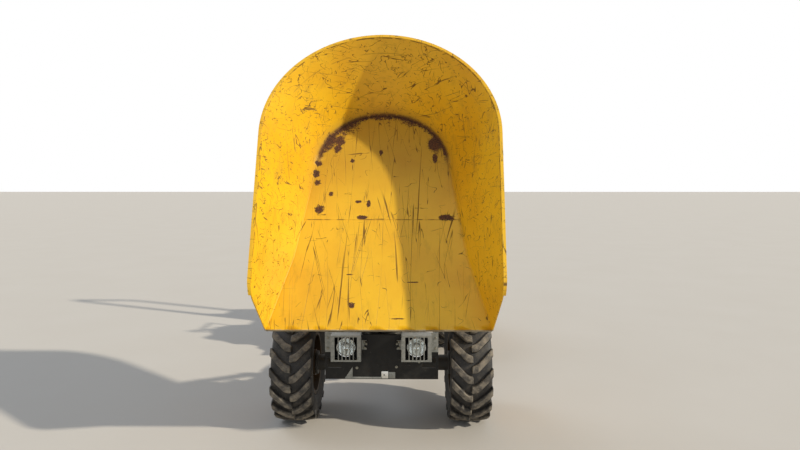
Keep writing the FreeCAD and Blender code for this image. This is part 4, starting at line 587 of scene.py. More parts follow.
class Finishes:
    """All finishes, each built once and kept under the words used by the assemblies."""

    def __init__(self) -> None:
        """Build every material."""
        self.skip = HopperEnamel(placement=Skip(self).placement()).build()
        self.skip_outside = HopperEnamel(name="hopper_enamel_outside").build()
        self.body = PanelEnamel("panel_enamel_yellow", "f0ac17", chip="8f8a80", dustiness=0.3).build()
        # The wheels take painted shade on their sides that face the machine's middle
        self.wheel = PanelEnamel("wheel_enamel_yellow", "e2a11b", chip="8f8a80", dustiness=0.4,
                                 inner_shade_x=0.60).build()
        self.chassis = PanelEnamel("chassis_enamel_anthracite", "171716", dustiness=0.12, gloss=0.46,
                                   edges=0.5, gleam=0.25).build()
        self.zinc = ZincCoating().build()
        self.chrome = PlatedMetal("reflector_chrome_plated", "e9eae8", 0.15, grime=0.05).build()
        self.rod = PlatedMetal("piston_rod_hard_chrome_ground", "d6d6d4", 0.12, grime=0.25).build()
        self.steel = PlatedMetal("pin_steel_turned_greased", "8f8c86", 0.34, line_depth=0.05,
                                 grime=0.6).build()
        self.bolt = PlatedMetal("fastener_zinc_passivated", "8a887d", 0.45, grime=0.5).build()
        self.label = PlatedMetal("blank_plate_aluminium_rolled", "d9d9d4", 0.3, grime=0.2).build()
        self.iron = CastIron("cast_iron_painted").build()
        self.engine = CastIron("engine_casting_painted", "3b3d3c", gloss=0.5).build()
        self.heat = CastIron("silencer_steel_scaled", "3a3632", "6b3f24", 0.7).build()
        self.weight = CastIron("ballast_casting_painted", "2e2e2c").build()
        self.tyre = TyreRubber().build()
        self.rubber = MouldedPlastic("rubber_moulded_ribbed", "141413", 6.0, 0.7).build()
        self.plastic = MouldedPlastic("abs_black_moulded").build()
        self.knob = MouldedPlastic("abs_red_moulded", "8a1a12", 5.0, 0.35).build()
        self.vinyl = SeatVinyl().build()
        self.glass = ClearLens("lamp_glass_pressed").build()
        self.red = ClearLens("acrylic_red_moulded", "a80d0a", 0.12, 1.49, 0.55).build()
        self.amber = ClearLens("acrylic_amber_moulded", "d9760a", 0.12, 1.49, 0.55).build()
        self.dial = PanelEnamel("dial_face_printed", "101011", dustiness=0.0, gloss=0.3, edges=0.0).build()


def facing(origin: Point, normal: Point, up: Point = (0, 0, 1)) -> Matrix:
    """Return the placement whose Z axis points along a normal.

    Args:
        origin: where the placement's own origin goes.
        normal: the direction that its Z axis takes.
        up: a direction that its Y axis leans to; another is used where it lies along the normal.

    Returns:
        The placement.
    """
    z_axis = Vector(normal).normalized()
    guide = Vector(up)
    if abs(z_axis.dot(guide.normalized())) > 0.98:
        guide = Vector((0, 1, 0)) if abs(z_axis.y) < 0.9 else Vector((1, 0, 0))
    x_axis = guide.cross(z_axis).normalized()
    y_axis = z_axis.cross(x_axis)
    turn = Matrix((x_axis, y_axis, z_axis)).transposed().to_4x4()
    return Matrix.Translation(Vector(origin)) @ turn


def circle(radius: float, height: float, count: int, place: Matrix = Matrix()) -> Ring:
    """Return evenly spaced points on a circle about Z at a height, moved by a placement."""
    angles = (2 * math.pi * number / count for number in range(count))
    return [place @ Vector((radius * math.cos(a), radius * math.sin(a), height)) for a in angles]


def rounded(width: float, depth: float, corner: float, height: float, place: Matrix, steps: int = 4) -> Ring:
    """Return a rectangle's outline with round corners at a height, moved by a placement."""
    points = []
    for number, (sign_x, sign_y) in enumerate(((1, 1), (-1, 1), (-1, -1), (1, -1))):
        middle_x, middle_y = sign_x * (width / 2 - corner), sign_y * (depth / 2 - corner)
        for step in range(steps + 1):
            angle = math.pi / 2 * (number + step / steps)
            points.append(place @ Vector((middle_x + corner * math.cos(angle),
                                          middle_y + corner * math.sin(angle), height)))
    return points


class Piece:
    """Collects the points and faces of one piece of the scene."""

    def __init__(self) -> None:
        """Start with nothing."""
        self.points: list[Vector] = []
        self.faces: list[tuple[int, ...]] = []
        self.kinds: list[int] = []

    def quad(self, corners: list[Vector], kind: int = 0) -> None:
        """Add one face between four corners."""
        self.add(corners, [(0, 1, 2, 3)], kind)

    def move(self, place: Matrix) -> None:
        """Move everything collected so far by a placement."""
        self.points = [place @ point for point in self.points]

    def add(self, points: Iterable[Vector], faces: Iterable[Sequence[int]], kind: int = 0) -> None:
        """Add points and the faces between them, numbered from the first of these points."""
        base = len(self.points)
        self.points.extend(points)
        for face in faces:
            self.faces.append(tuple(base + index for index in face))
            self.kinds.append(kind)

    def loft(self, rings: Sequence[Ring], closed: bool = True, caps: bool = True, kind: int = 0) -> None:
        """Join rings of equal length with quads.

        Args:
            rings: the rings in order.
            closed: whether each ring's end joins its start.
            caps: whether the first and last ring are filled.
            kind: which of the piece's finishes the faces take.
        """
        count = len(rings[0])
        spans = count if closed else count - 1
        faces: list[tuple[int, ...]] = []
        for row in range(len(rings) - 1):
            for index in range(spans):
                after = (index + 1) % count
                faces.append((row * count + index, row * count + after,
                              (row + 1) * count + after, (row + 1) * count + index))
        if caps and closed:
            faces.append(tuple(reversed(range(count))))
            faces.append(tuple((len(rings) - 1) * count + index for index in range(count)))
        self.add([point for ring in rings for point in ring], faces, kind)

    def turned(self, profile: Sequence[Point], place: Matrix, count: int = 32, kind: int = 0,
               caps: bool = True) -> None:
        """Add a turned shape from (height, radius) points about the placement's Z axis."""
        self.loft([circle(radius, height, count, place) for height, radius in profile], caps=caps, kind=kind)

    def bolt(self, place: Matrix, size: float, kind: int = 0, washer: bool = True) -> None:
        """Add a hexagon bolt's head with its chamfer and washer, standing on the placement.

        Args:
            place: the placement, with Z along the bolt.
            size: the thread's diameter.
            kind: which of the piece's finishes it takes.
            washer: whether a washer lies under the head.
        """
        lift = 0.0
        if washer:
            lift = 0.18 * size
            disc = [(-0.1 * size, 1.05 * size), (lift * 0.8, 1.05 * size), (lift, size)]
            self.turned(disc, place, 16, kind)
        across = 0.92 * size
        heights = ((lift, across), (lift + 0.5 * size, across), (lift + 0.62 * size, 0.82 * across))
        self.loft([circle(radius, height, 6, place) for height, radius in heights], kind=kind)

    def block(self, place: Matrix, size: Point, corner: float, edge: float = 0.0, kind: int = 0) -> None:
        """Add a block with round upright corners and softened ends, centred on X and Y, standing on Z 0."""
        width, depth, height = size
        edge = edge or min(corner, height / 2) * 0.6
        rows = ((0.0, edge), (edge * 0.3, edge * 0.3), (edge, 0.0), (height - edge, 0.0),
                (height - edge * 0.3, edge * 0.3), (height, edge))
        self.loft([rounded(width - 2 * inset, depth - 2 * inset, max(corner - inset, corner * 0.2), level,
                           place) for level, inset in rows], kind=kind)

    def tube(self, path: Sequence[Vector], radius: float | Callable[[float], float], count: int = 10,
             kind: int = 0, closed: bool = False) -> None:
        """Sweep a round section along a path.

        Args:
            path: the points of the path.
            radius: the section's radius, or a function of the share of the path.
            count: how many points the section has.
            kind: which of the piece's finishes it takes.
            closed: whether the path's end joins its start.
        """
        total = len(path)
        rings, side = [], None
        for index, point in enumerate(path):
            before = path[index - 1] if index or closed else point
            after = path[(index + 1) % total] if index < total - 1 or closed else point
            along = (after - before).normalized()
            if side is None:
                side = along.orthogonal().normalized()
            side = (side - along * side.dot(along)).normalized()
            other = along.cross(side)
            reach = radius(index / (total - 1)) if callable(radius) else radius
            rings.append([point + side * (reach * math.cos(a)) + other * (reach * math.sin(a))
                          for a in (2 * math.pi * number / count for number in range(count))])
        if closed:
            rings.append(rings[0])
        self.loft(rings, caps=not closed, kind=kind)

    def weld(self, path: Sequence[Vector], radius: float, ripple_mm: float = 5.0, kind: int = 0) -> None:
        """Add a weld bead with its ripples along a path of points."""
        points, step = [], ripple_mm * MM / 2
        for start, end in zip(path, path[1:]):
            parts = max(1, round((end - start).length / step))
            points += [start.lerp(end, part / parts) for part in range(parts)]
        points.append(path[-1])
        last = len(points) - 1

        def reach(share: float) -> float:
            """Return the bead's radius, which swells and narrows with each ripple."""
            return radius * (1.0 if round(share * last) % 2 else 0.84)

        self.tube(points, reach, 6, kind)

    def object(self, name: str, body: str, slot: Slot, finishes: Sequence[Material],
               place: Matrix = Matrix(), crease: float = 34.0,
               replaces: Sequence[str] = ()) -> bpy.types.Object:
        """Turn what was collected into an object of the scene that rides on a body.

        Args:
            name: the object's name.
            body: the body that it rides on.
            slot: the record's slot for the piece; not used.
            finishes: the materials, in the order of the faces' kinds.
            place: where the piece's own axes lie.
            crease: edges sharper than so many degrees stay sharp.
            replaces: the frame's nodes that the piece stands for.

        Returns:
            The object.
        """
        mesh = bpy.data.meshes.new(name)
        mesh.from_pydata(self.points, [], self.faces)
        for material in finishes:
            mesh.materials.append(material)
        mesh.polygons.foreach_set("material_index", self.kinds)
        mesh.polygons.foreach_set("use_smooth", [True] * len(self.faces))
        mesh.validate()
        mesh.set_sharp_from_angle(angle=math.radians(crease))
        made = bpy.data.objects.new(name, mesh)
        bpy.context.scene.collection.objects.link(made)
        made.matrix_world = place
        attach(made, body)
        if replaces:
            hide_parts(*replaces)
        LOG.info("%s: %d faces on %s", name, len(self.faces), body)
        return made


def edge_tools() -> bpy.types.NodeTree:
    """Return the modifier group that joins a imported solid's split points and shades it by its angles."""
    group = bpy.data.node_groups.new("join_and_shade", "GeometryNodeTree")
    group.interface.new_socket("Geometry", in_out="INPUT", socket_type="NodeSocketGeometry")
    group.interface.new_socket("Geometry", in_out="OUTPUT", socket_type="NodeSocketGeometry")
    nodes, links = group.nodes, group.links
    start, end = nodes.new("NodeGroupInput"), nodes.new("NodeGroupOutput")
    merge = nodes.new("GeometryNodeMergeByDistance")
    merge.inputs["Distance"].default_value = 0.01 * MM
    bare = nodes.new("GeometryNodeRemoveAttribute")
    bare.inputs["Name"].default_value = "custom_normal"
    smooth = nodes.new("GeometryNodeSetShadeSmooth")
    crease = nodes.new("GeometryNodeSetShadeSmooth")
    crease.domain = "EDGE"
    crease.inputs["Shade Smooth"].default_value = False
    angle = nodes.new("GeometryNodeInputMeshEdgeAngle")
    sharp = nodes.new("ShaderNodeMath")
    sharp.operation = "GREATER_THAN"
    sharp.inputs[1].default_value = math.radians(34)
    chain = (start, merge, bare, smooth, crease, end)
    for before, after in zip(chain, chain[1:]):
        links.new(before.outputs[0], after.inputs[0])
    links.new(angle.outputs[0], sharp.inputs[0])
    links.new(sharp.outputs[0], crease.inputs["Selection"])
    return group


class Dresser:
    """Gives the frame's own nodes their finish and soft edges."""

    def __init__(self) -> None:
        """Make the modifier group that every node shares."""
        self.group = edge_tools()

    def dress(self, node: str, material: Material, edge_mm: float = 2.0) -> None:
        """Assign a node's material and round its sharp edges.

        Args:
            node: the frame's node.
            material: its finish.
            edge_mm: the edges' radius in millimetres, or 0 to leave them.
        """
        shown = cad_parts[node]
        shown.data.materials.clear()
        shown.data.materials.append(material)
        join = shown.modifiers.new("join", "NODES")
        join.node_group = self.group
        if edge_mm:
            flat = shown.modifiers.new("flat", "DECIMATE")
            flat.decimate_type = "DISSOLVE"
            flat.angle_limit = math.radians(0.6)
            round_edges(shown, edge_mm, 50)


def round_edges(shown: bpy.types.Object, edge_mm: float, degrees: float) -> None:
    """Round the edges sharper than so many degrees, and even out the shading beside them."""
    bevel = shown.modifiers.new("edges", "BEVEL")
    bevel.width, bevel.segments = edge_mm * MM, 2
    bevel.limit_method, bevel.angle_limit = "ANGLE", math.radians(degrees)
    shown.modifiers.new("even", "WEIGHTED_NORMAL").keep_sharp = True


def middle(node: str) -> Vector:
    """Return the middle of a node's box."""
    low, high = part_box(node)
    return (low + high) / 2


def blend(start: float, end: float, share: float) -> float:
    """Return the value a share of the way from start to end."""
    return start + (end - start) * share


@dataclass
class Skip:
    """The tipping skip: a flared U of plate with a rim band, a lip bar and its welds.

    Lengths are in the skip's own frame: x to the left, s back along the floor from the lip, n up from it.
    """

    finishes: Finishes
    floor_front: float = 0.640
    floor_knee: float = 0.525
    floor_knee_s: float = 0.460
    floor_arc: float = 1.160
    floor_radius: float = 0.436
    rim_front: float = 0.663
    rim_knee_s: float = 0.430
    rim_arc: float = 1.035
    rim_radius: float = 0.711
    setback: float = 0.080
    height: float = 0.345
    corner: float = 0.110
    tilt: float = math.radians(5.5)
    tip: float = math.radians(55.0)
    plate: float = 0.006
    band: float = 0.012
    band_level: float = 0.88
    bar_depth: float = 0.080
    bar_thickness: float = 0.012
    hinge_s: float = 0.300
    hinge_n: float = -0.080
    seam_s: float = 0.735

    def placement(self) -> Matrix:
        """Return where the skip's own frame lies in the machine."""
        hinge = middle("tip_hinge_pin")
        turn = Matrix.Rotation(self.tip, 4, "X")
        reach = turn @ Vector((0, self.hinge_s, self.hinge_n))
        return Matrix.Translation(Vector((0, hinge.y - reach.y, hinge.z - reach.z))) @ turn

    def tangent(self, x: float, s: float, centre: float, radius: float) -> tuple[float, float]:
        """Return where the straight side from a point runs into the rear arc, as (x, s)."""
        reach = math.hypot(x, centre - s)
        turn = math.atan2(s - centre, x) + math.acos(radius / reach)
        return radius * math.cos(turn), centre + radius * math.sin(turn)

    def outline(self, level: float, offset: float, rise: float = 0.0) -> list[list[Vector]]:
        """Return the left half of an outline as its front side, rear side and quarter arc.

        Args:
            level: 0 for the floor's outline, or 1 for the rim's.
            offset: how far it is grown outwards.
            rise: how far it is lifted from the floor.

        Returns:
            Three lists of points from the lip to the middle of the rear.
        """
        tangent_x, tangent_s = self.tangent(self.rim_front, 0, self.rim_arc, self.rim_radius)
        rim_knee = blend(self.rim_front, tangent_x, self.rim_knee_s / tangent_s)
        front = blend(self.floor_front, self.rim_front, level) + offset
        knee = blend(self.floor_knee, rim_knee, level) + offset
        knee_s = blend(self.floor_knee_s, self.rim_knee_s, level)
        centre = blend(self.floor_arc, self.rim_arc, level)
        radius = blend(self.floor_radius, self.rim_radius, level) + offset
        rear_x, rear_s = self.tangent(knee, knee_s, centre, radius)
        lean = self.tilt * level

        def put(x: float, s: float) -> Vector:
            """Return the point in the skip's frame."""
            return Vector((x, self.setback * level + s * math.cos(lean),
                           self.height * level + s * math.sin(lean) + rise))

        def run(start: Point, end: Point, steps: int) -> list[Vector]:
            """Return evenly spaced points from one place to the next, without the last."""
            return [put(blend(start[0], end[0], k / steps), blend(start[1], end[1], k / steps))
                    for k in range(steps)]

        first = math.atan2(rear_s - centre, rear_x)
        arc = [put(radius * math.cos(blend(first, math.pi / 2, k / 30)),
                   centre + radius * math.sin(blend(first, math.pi / 2, k / 30))) for k in range(31)]
        return [run((front, 0), (knee, knee_s), 12), run((knee, knee_s), (rear_x, rear_s), 14), arc]

    def corner_arc(self) -> tuple[Vector, Vector, Vector]:
        """Return the rim's rounded front corner as its centre and its two tangent points, each (s, n)."""
        edge = Vector((self.setback, self.height))
        up = edge.normalized()
        back = Vector((math.cos(self.tilt), math.sin(self.tilt)))
        half = math.acos(-up.dot(back)) / 2
        run = self.corner / math.tan(half)
        centre = edge + (back - up).normalized() * (self.corner / math.sin(half))
        return centre, edge - up * run, edge + back * run

    def levels(self) -> list[float]:
        """Return the wall's levels from the floor to the rim, close together round the corner."""
        centre, on_front, on_rim = self.corner_arc()
        start = math.atan2(on_front.y - centre.y, on_front.x - centre.x) % (2 * math.pi)
        end = math.atan2(on_rim.y - centre.y, on_rim.x - centre.x)
        rows = [on_front.y / self.height * k / 8 for k in range(9)]
        for k in range(1, 9):
            angle = blend(start, end, k / 8)
            reach = Vector((self.corner * math.cos(angle), self.corner * math.sin(angle)))
            rows.append(self.level_of(centre + reach))
        rows[-1] = 1.0
        rows.append(self.band_level)
        return sorted(set(round(row, 5) for row in rows))

    def level_of(self, place: Vector) -> float:
        """Return the level of a point (s, n) of the front side's plane."""
        floor_end = Vector((self.floor_knee_s, 0.0))
        rim_start = Vector((self.setback, self.height))
        rim_end = rim_start + self.rim_knee_s * Vector((math.cos(self.tilt), math.sin(self.tilt)))
        low, high = 0.0, 1.0
        for _ in range(40):
            level = (low + high) / 2
            start, end = rim_start * level, floor_end.lerp(rim_end, level)
            along = end - start
            beside = along.x * (place.y - start.y) - along.y * (place.x - start.x)
            low, high = (level, high) if beside > 0 else (low, level)
        return (low + high) / 2

    def front_share(self, start: Vector, end: Vector) -> float:
        """Return the share of a row's front run that the rounded corner takes off."""
        centre, on_front, _ = self.corner_arc()
        if start.z <= on_front.y:
            return 0.0
        along = Vector((end.y - start.y, end.z - start.z))
        away = Vector((start.y - centre.x, start.z - centre.y))
        a, b, c = along.dot(along), 2 * along.dot(away), away.dot(away) - self.corner ** 2
        root = b * b - 4 * a * c
        return max(0.0, (-b - math.sqrt(root)) / (2 * a)) if root > 0 else 0.0

    def wall(self, levels: Sequence[float], offset: float, drop: float = 0.0) -> list[list[Vector]]:
        """Return a wall surface's rows, each from the left front round the rear to the right front.

        Args:
            levels: the rows' levels.
            offset: how far outside the wall's inner face the surface lies.
            drop: how far the floor's outline lies below the floor.

        Returns:
            One list of points for each level.
        """
        foot, rim = self.outline(0, offset, -drop), self.outline(1, offset)
        rows = []
        for level in levels:
            runs = [[a.lerp(b, level) for a, b in zip(low, high)] for low, high in zip(foot, rim)]
            start, end = runs[0][0], runs[1][0]
            cut = self.front_share(start, end)
            share = [k / len(runs[0]) for k in range(len(runs[0]))]
            front = [start.lerp(end, cut + (1 - cut) * k) for k in share]
            left = front + runs[1] + runs[2]
            rows.append(left + [Vector((-p.x, p.y, p.z)) for p in reversed(left[:-1])])
        return rows

    def shell(self) -> None:
        """Build the shell as one closed mesh: floor, walls, rim band and front edges."""
        piece = Piece()
        levels = self.levels()
        split = levels.index(self.band_level)
        inner = self.wall(levels, 0.0)
        outer = self.wall(levels[:split + 1], self.plate, self.plate)
        banded = self.wall(levels[split:], self.plate + self.band)
        piece.loft(inner, closed=False, kind=0)
        piece.loft([inner[-1], banded[-1]], closed=False, kind=1)
        piece.loft(banded[::-1] + outer[::-1], closed=False, kind=1)
        for column in (0, len(inner[0]) - 1):
            edge = [row[column] for row in inner]
            back = [row[column] for row in outer]
            side = [row[column] for row in banded]
            for k in range(split):
                piece.quad([edge[k], edge[k + 1], back[k + 1], back[k]], 1)
            for k in range(len(side) - 1):
                piece.quad([edge[split + k], edge[split + k + 1], side[k + 1], side[k]], 1)
        for row, kind in ((inner[0], 0), (outer[0], 1)):
            self.floor(piece, row, kind)
        across = 24
        lip = [[row[0].lerp(row[-1], k / across) for k in range(across + 1)] for row in (inner[0], outer[0])]
        piece.loft(lip, closed=False, kind=1)
        narrowing = (self.floor_front - self.floor_knee) / self.floor_knee_s * self.bar_depth
        bar = [Vector((self.floor_front, 0, 0)), Vector((-self.floor_front, 0, 0)),
               Vector((narrowing - self.floor_front, self.bar_depth, 0)),
               Vector((self.floor_front - narrowing, self.bar_depth, 0))]
        rise = [-self.plate + 0.0005, -self.plate - self.bar_thickness]
        piece.loft([[p + Vector((0, 0, n)) for p in bar] for n in rise], kind=1)
        piece.move(self.placement())
        shell = piece.object("skip_shell_plate", "skip", Slot.SKIP, [self.finishes.skip] * 2, crease=50.0,
                             replaces=["skip_shell"])
        shell.modifiers.new("join", "WELD").merge_threshold = 0.02 * MM
        round_edges(shell, 1.6, 60)

    def floor(self, piece: Piece, row: Sequence[Vector], kind: int) -> None:
        """Fill the floor inside one outline with strips across the skip."""
        half, across = len(row) // 2, 16
        strips = []
        for k in range(half):
            left, right = row[k], row[-1 - k]
            strips.append([left.lerp(right, step / across) for step in range(across + 1)])
        piece.loft(strips, closed=False, kind=kind)
        piece.add(strips[-1] + [row[half]], [(k, k + 1, across + 1) for k in range(across)], kind)

    def welds(self) -> None:
        """Lay the beads along the floor's edge, under the rim band and across the floor's butt joint."""
        piece = Piece()
        foot = self.wall([0.012], 0.0)[0]
        piece.weld([p + Vector((0, 0, 0.001)) for p in foot[1:-1]], 0.0045)
        under = self.wall([self.band_level - 0.008], self.plate)[0]
        piece.weld(under[2:-2], 0.0035, 8.0)
        seam = min(foot[:len(foot) // 2], key=lambda p: abs(p.y - self.seam_s))
        ends = [Vector((sign * (abs(seam.x) - 0.004), self.seam_s, 0.0)) for sign in (1, -1)]
        piece.weld(ends, 0.0016, 6.0)
        piece.move(self.placement())
        piece.object("skip_weld_beads", "skip", Slot.SKIP, [self.finishes.skip], crease=60.0)

    def build(self) -> None:
        """Build and dress the whole skip."""
        self.shell()
        self.welds()


@dataclass
class LuggedTyre:
    """One tyre: a smooth carcass with two staggered rows of chevron lugs that run onto its shoulders."""

    finishes: Finishes
    end: str
    side: Side
    radius: float = 0.380
    width: float = 0.264
    drop: float = 0.014
    lug_height: float = 0.028
    flare: float = 0.006
    lugs: int = 18
    bead: float = 0.194
    bead_x: float = 0.1075

    def tread(self, x: float) -> float:
        """Return the radius over the lugs at a distance from the tread's middle."""
        return self.radius - self.drop * (2 * x / self.width) ** 2

    def at(self, x: float, radius: float, turn: float) -> Vector:
        """Return a point at a radius and an angle from straight down, mirrored on the right."""
        return Vector((self.side.value * x, -radius * math.sin(turn), -radius * math.cos(turn)))

    def carcass(self, piece: Piece) -> None:
        """Turn the carcass, with its bead, wall ribs and shoulders."""
        wall = [(self.bead_x, self.bead), (self.bead_x, 0.213), (0.1105, 0.2155), (0.1150, 0.2170),
                (0.1165, 0.2215), (0.1160, 0.2260), (0.1190, 0.2320), (0.1240, 0.2440), (0.1278, 0.2570),
                (0.1292, 0.2620), (0.1310, 0.2640), (0.1312, 0.2690), (0.1300, 0.2715), (0.1306, 0.2800),
                (0.1303, 0.2950), (0.1292, 0.3060), (0.1306, 0.3080), (0.1304, 0.3125), (0.1286, 0.3145),
                (0.1262, 0.3230), (0.1225, 0.3320), (0.1170, 0.3390)]
        tread = [(x, self.tread(x) - self.lug_height) for x in (0.105, 0.085, 0.06, 0.03, 0.0)]
        half = wall + tread
        profile = half + [(-x, r) for x, r in reversed(half[:-1])]
        count = 120
        rings = [[self.at(x, r, 2 * math.pi * k / count) for k in range(count)] for x, r in profile]
        rings.append(rings[0])
        piece.loft(rings, caps=False)

    def lug(self, piece: Piece, sign: int, start: float) -> None:
        """Add one lug of the row on the outer (1) or inner (-1) half, from the middle to its shoulder.

        Args:
            piece: what the lug is added to.
            sign: the half of the tread.
            start: the angle of its root at the tread's middle.
        """
        half = self.width / 2
        rows = [
            # Share of half the width, run round the tread as a share of it, half width, top and foot places
            (-0.03, -0.02, 0.0155, None), (0.0, 0.0, 0.0195, None), (0.10, 0.02, 0.0215, None),
            (0.20, 0.055, 0.0235, None), (0.30, 0.115, 0.0243, None), (0.42, 0.235, 0.0250, None),
            (0.60, 0.430, 0.0258, None), (0.80, 0.650, 0.0266, None), (0.93, 0.800, 0.0270, None),
            (0.965, 0.845, 0.0262, ((0.1300, 0.3625), (0.1200, 0.3330))),
            (0.98, 0.870, 0.0245, ((0.1316, 0.3500), (0.1225, 0.3250))),
            (0.98, 0.895, 0.0215, ((0.1316, 0.3350), (0.1235, 0.3150))),
            (0.98, 0.920, 0.0175, ((0.1308, 0.3190), (0.1240, 0.3050))),
        ]
        rings = []
        for share, run, half_width, places in rows:
            x = share * half
            middle_turn = start + run * half / self.radius
            top = (x, self.tread(x)) if places is None else places[0]
            foot = (x, self.tread(x) - self.lug_height - 0.002) if places is None else places[1]
            soft = 0.0045 if places is None else 0.003
            if share < 0:
                top = (x, top[1] - 0.004)
            shoulder = (blend(top[0], foot[0], 0.12), blend(top[1], foot[1], 0.12))
            ring = []
            for place, reach in ((foot, -half_width - self.flare), (shoulder, -half_width - 0.001),
                                 (top, soft - half_width), (top, half_width - soft),
                                 (shoulder, half_width + 0.001), (foot, half_width + self.flare)):
                turn = middle_turn + reach / self.radius
                ring.append(self.at(sign * place[0], place[1], turn))
            rings.append(ring)
        piece.loft(rings)

    def build(self) -> None:
        """Build the tyre in place of its plain solid."""
        node = f"tyre_{self.end}_{self.side.word}"
        piece = Piece()
        self.carcass(piece)
        pitch = 2 * math.pi / self.lugs
        for number in range(self.lugs):
            self.lug(piece, 1, number * pitch)
            self.lug(piece, -1, (number + 0.5) * pitch)
        piece.object(f"{node}_rubber", f"wheel_{self.end}_{self.side.word}", Slot.TYRE, [self.finishes.tyre],
                     Matrix.Translation(middle(node)), 38.0, [node])


@dataclass
class DiscWheel:
    """A pressed disc wheel's dress: nuts round the hub, its cap's screws and the valve."""

    finishes: Finishes
    dresser: Dresser
    end: str
    side: Side
    nuts: int = 6
    nut_circle: float = 0.105
    disc_outset: float = 0.040
    cap_outset: float = 0.038
    cap_circle: float = 0.040
    valve_circle: float = 0.146

    def ring(self, count: int, start: float, radius: float) -> list[Vector]:
        """Return evenly spaced places on a circle round the axle."""
        angles = (start + 2 * math.pi * number / count for number in range(count))
        return [Vector((0, math.cos(angle), math.sin(angle))) * radius for angle in angles]

    def build(self) -> None:
        """Dress the wheel's node and add its fasteners."""
        name = f"wheel_{self.end}_{self.side.word}"
        self.dresser.dress(name, self.finishes.wheel, 2.0)
        sign = self.side.value
        centre = middle(f"tyre_{self.end}_{self.side.word}")
        out = Vector((sign, 0, 0))
        face = centre + out * self.disc_outset
        piece = Piece()
        for spot in self.ring(self.nuts, 0.0, self.nut_circle):
            place = facing(face + spot, out)
            piece.bolt(place, 0.016)
            piece.turned([(0.0, 0.008), (0.022, 0.008), (0.024, 0.006)], place, 12)
        for spot in self.ring(4, math.pi / 4, self.cap_circle):
            piece.bolt(facing(face + out * self.cap_outset + spot, out), 0.007, washer=False)
        piece.object(f"{name}_nuts", name, Slot.STEEL, [self.finishes.bolt])
        valve = Piece()
        root = face + Vector((0, 0, self.valve_circle))
        valve.turned([(-0.002, 0.008), (0.006, 0.008), (0.012, 0.0055), (0.030, 0.005), (0.031, 0.0062),
                      (0.040, 0.0062), (0.042, 0.004)], facing(root, out), 14)
        ring_profile = [(0.0, 0.118), (0.0035, 0.119), (0.005, 0.122), (0.0035, 0.125), (0.0, 0.126)]
        valve.turned(ring_profile, facing(face, out), 64, caps=False)
        valve.object(f"{name}_valve", name, Slot.PLASTIC, [self.finishes.rubber])


@dataclass
class FrontLamp:
    """A round headlamp: chrome bezel, parabolic reflector, bulb shield and a fluted glass."""

    finishes: Finishes
    side: Side
    radius: float = 0.061

    def build(self) -> None:
        """Build the lamp in place of its plain solid."""
        node = f"headlamp_{self.side.word}"
        low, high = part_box(node)
        centre = (low + high) / 2
        face = Vector((centre.x, low.y, centre.z))
        place = facing(face, (0, -1, 0))
        depth = high.y - low.y
        bucket = Piece()
        bucket.turned([(-0.010, self.radius - 0.001), (-0.016, self.radius - 0.003),
                       (-0.020, self.radius - 0.006), (-0.036, self.radius - 0.013),
                       (-0.047, self.radius - 0.026), (-0.050, 0.019), (-depth, 0.018), (-depth, 0.002)],
                      place, 48, caps=False)
        bucket.object(f"{node}_bucket", "front_chassis", Slot.LAMP, [self.finishes.plastic])
        ring = Piece()
        ring.turned([(-0.013, 0.0585), (-0.013, 0.0605), (-0.008, 0.0610), (-0.003, 0.0604), (0.0, 0.0585),
                     (-0.0005, 0.0560), (-0.004, 0.0548), (-0.010, 0.0545), (-0.013, 0.0585)], place, 64,
                    caps=False)
        # The reflector is a parabola with its bulb at the focus
        bowl = [(-0.042 + 10.2 * r * r, r) for r in (0.006, 0.012, 0.020, 0.028, 0.036, 0.044, 0.050, 0.0545)]
        ring.turned(bowl, place, 64, caps=False)
        ring.turned([(-0.040, 0.0075), (-0.026, 0.0072), (-0.020, 0.0085), (-0.017, 0.0060),
                     (-0.016, 0.0015)], place, 24)
        ring.object(f"{node}_reflector", "front_chassis", Slot.LAMP, [self.finishes.chrome], replaces=[node])
        self.glass(node, place)

    def glass(self, node: str, place: Matrix) -> None:
        """Build the domed glass, with upright flutes pressed into its inner face."""
        lens, across, radius = Piece(), 30, 0.0550
        rows: list[Ring] = []
        for shell in (0, 1):
            for k in range(across + 1):
                share = -1 + 2 * k / across
                row = []
                for step in range(across + 1):
                    rise = -1 + 2 * step / across
                    # A square grid is drawn out to a disc, so that flutes stay upright
                    x = share * math.sqrt(1 - rise * rise / 2) * radius
                    y = rise * math.sqrt(1 - share * share / 2) * radius
                    dome = 0.004 * (1 - (x * x + y * y) / radius ** 2)
                    flute = 0.0005 * abs(math.sin(x / radius * math.pi * 4.5))
                    depth = dome - 0.0075 if not shell else dome - 0.0105 - flute
                    row.append(place @ Vector((x, y, depth)))
                rows.append(row)
        front, back = rows[:across + 1], rows[across + 1:]
        lens.loft(front, closed=False)
        lens.loft(back[::-1], closed=False)
        rims = [face[0][:-1] + [row[-1] for row in face[:-1]] + face[-1][:0:-1]
                + [row[0] for row in face[:0:-1]] for face in (back, front)]
        lens.loft(rims, caps=False)
        made = lens.object(f"{node}_glass", "front_chassis", Slot.LAMP, [self.finishes.glass])
        made.modifiers.new("join", "WELD").merge_threshold = 0.02 * MM


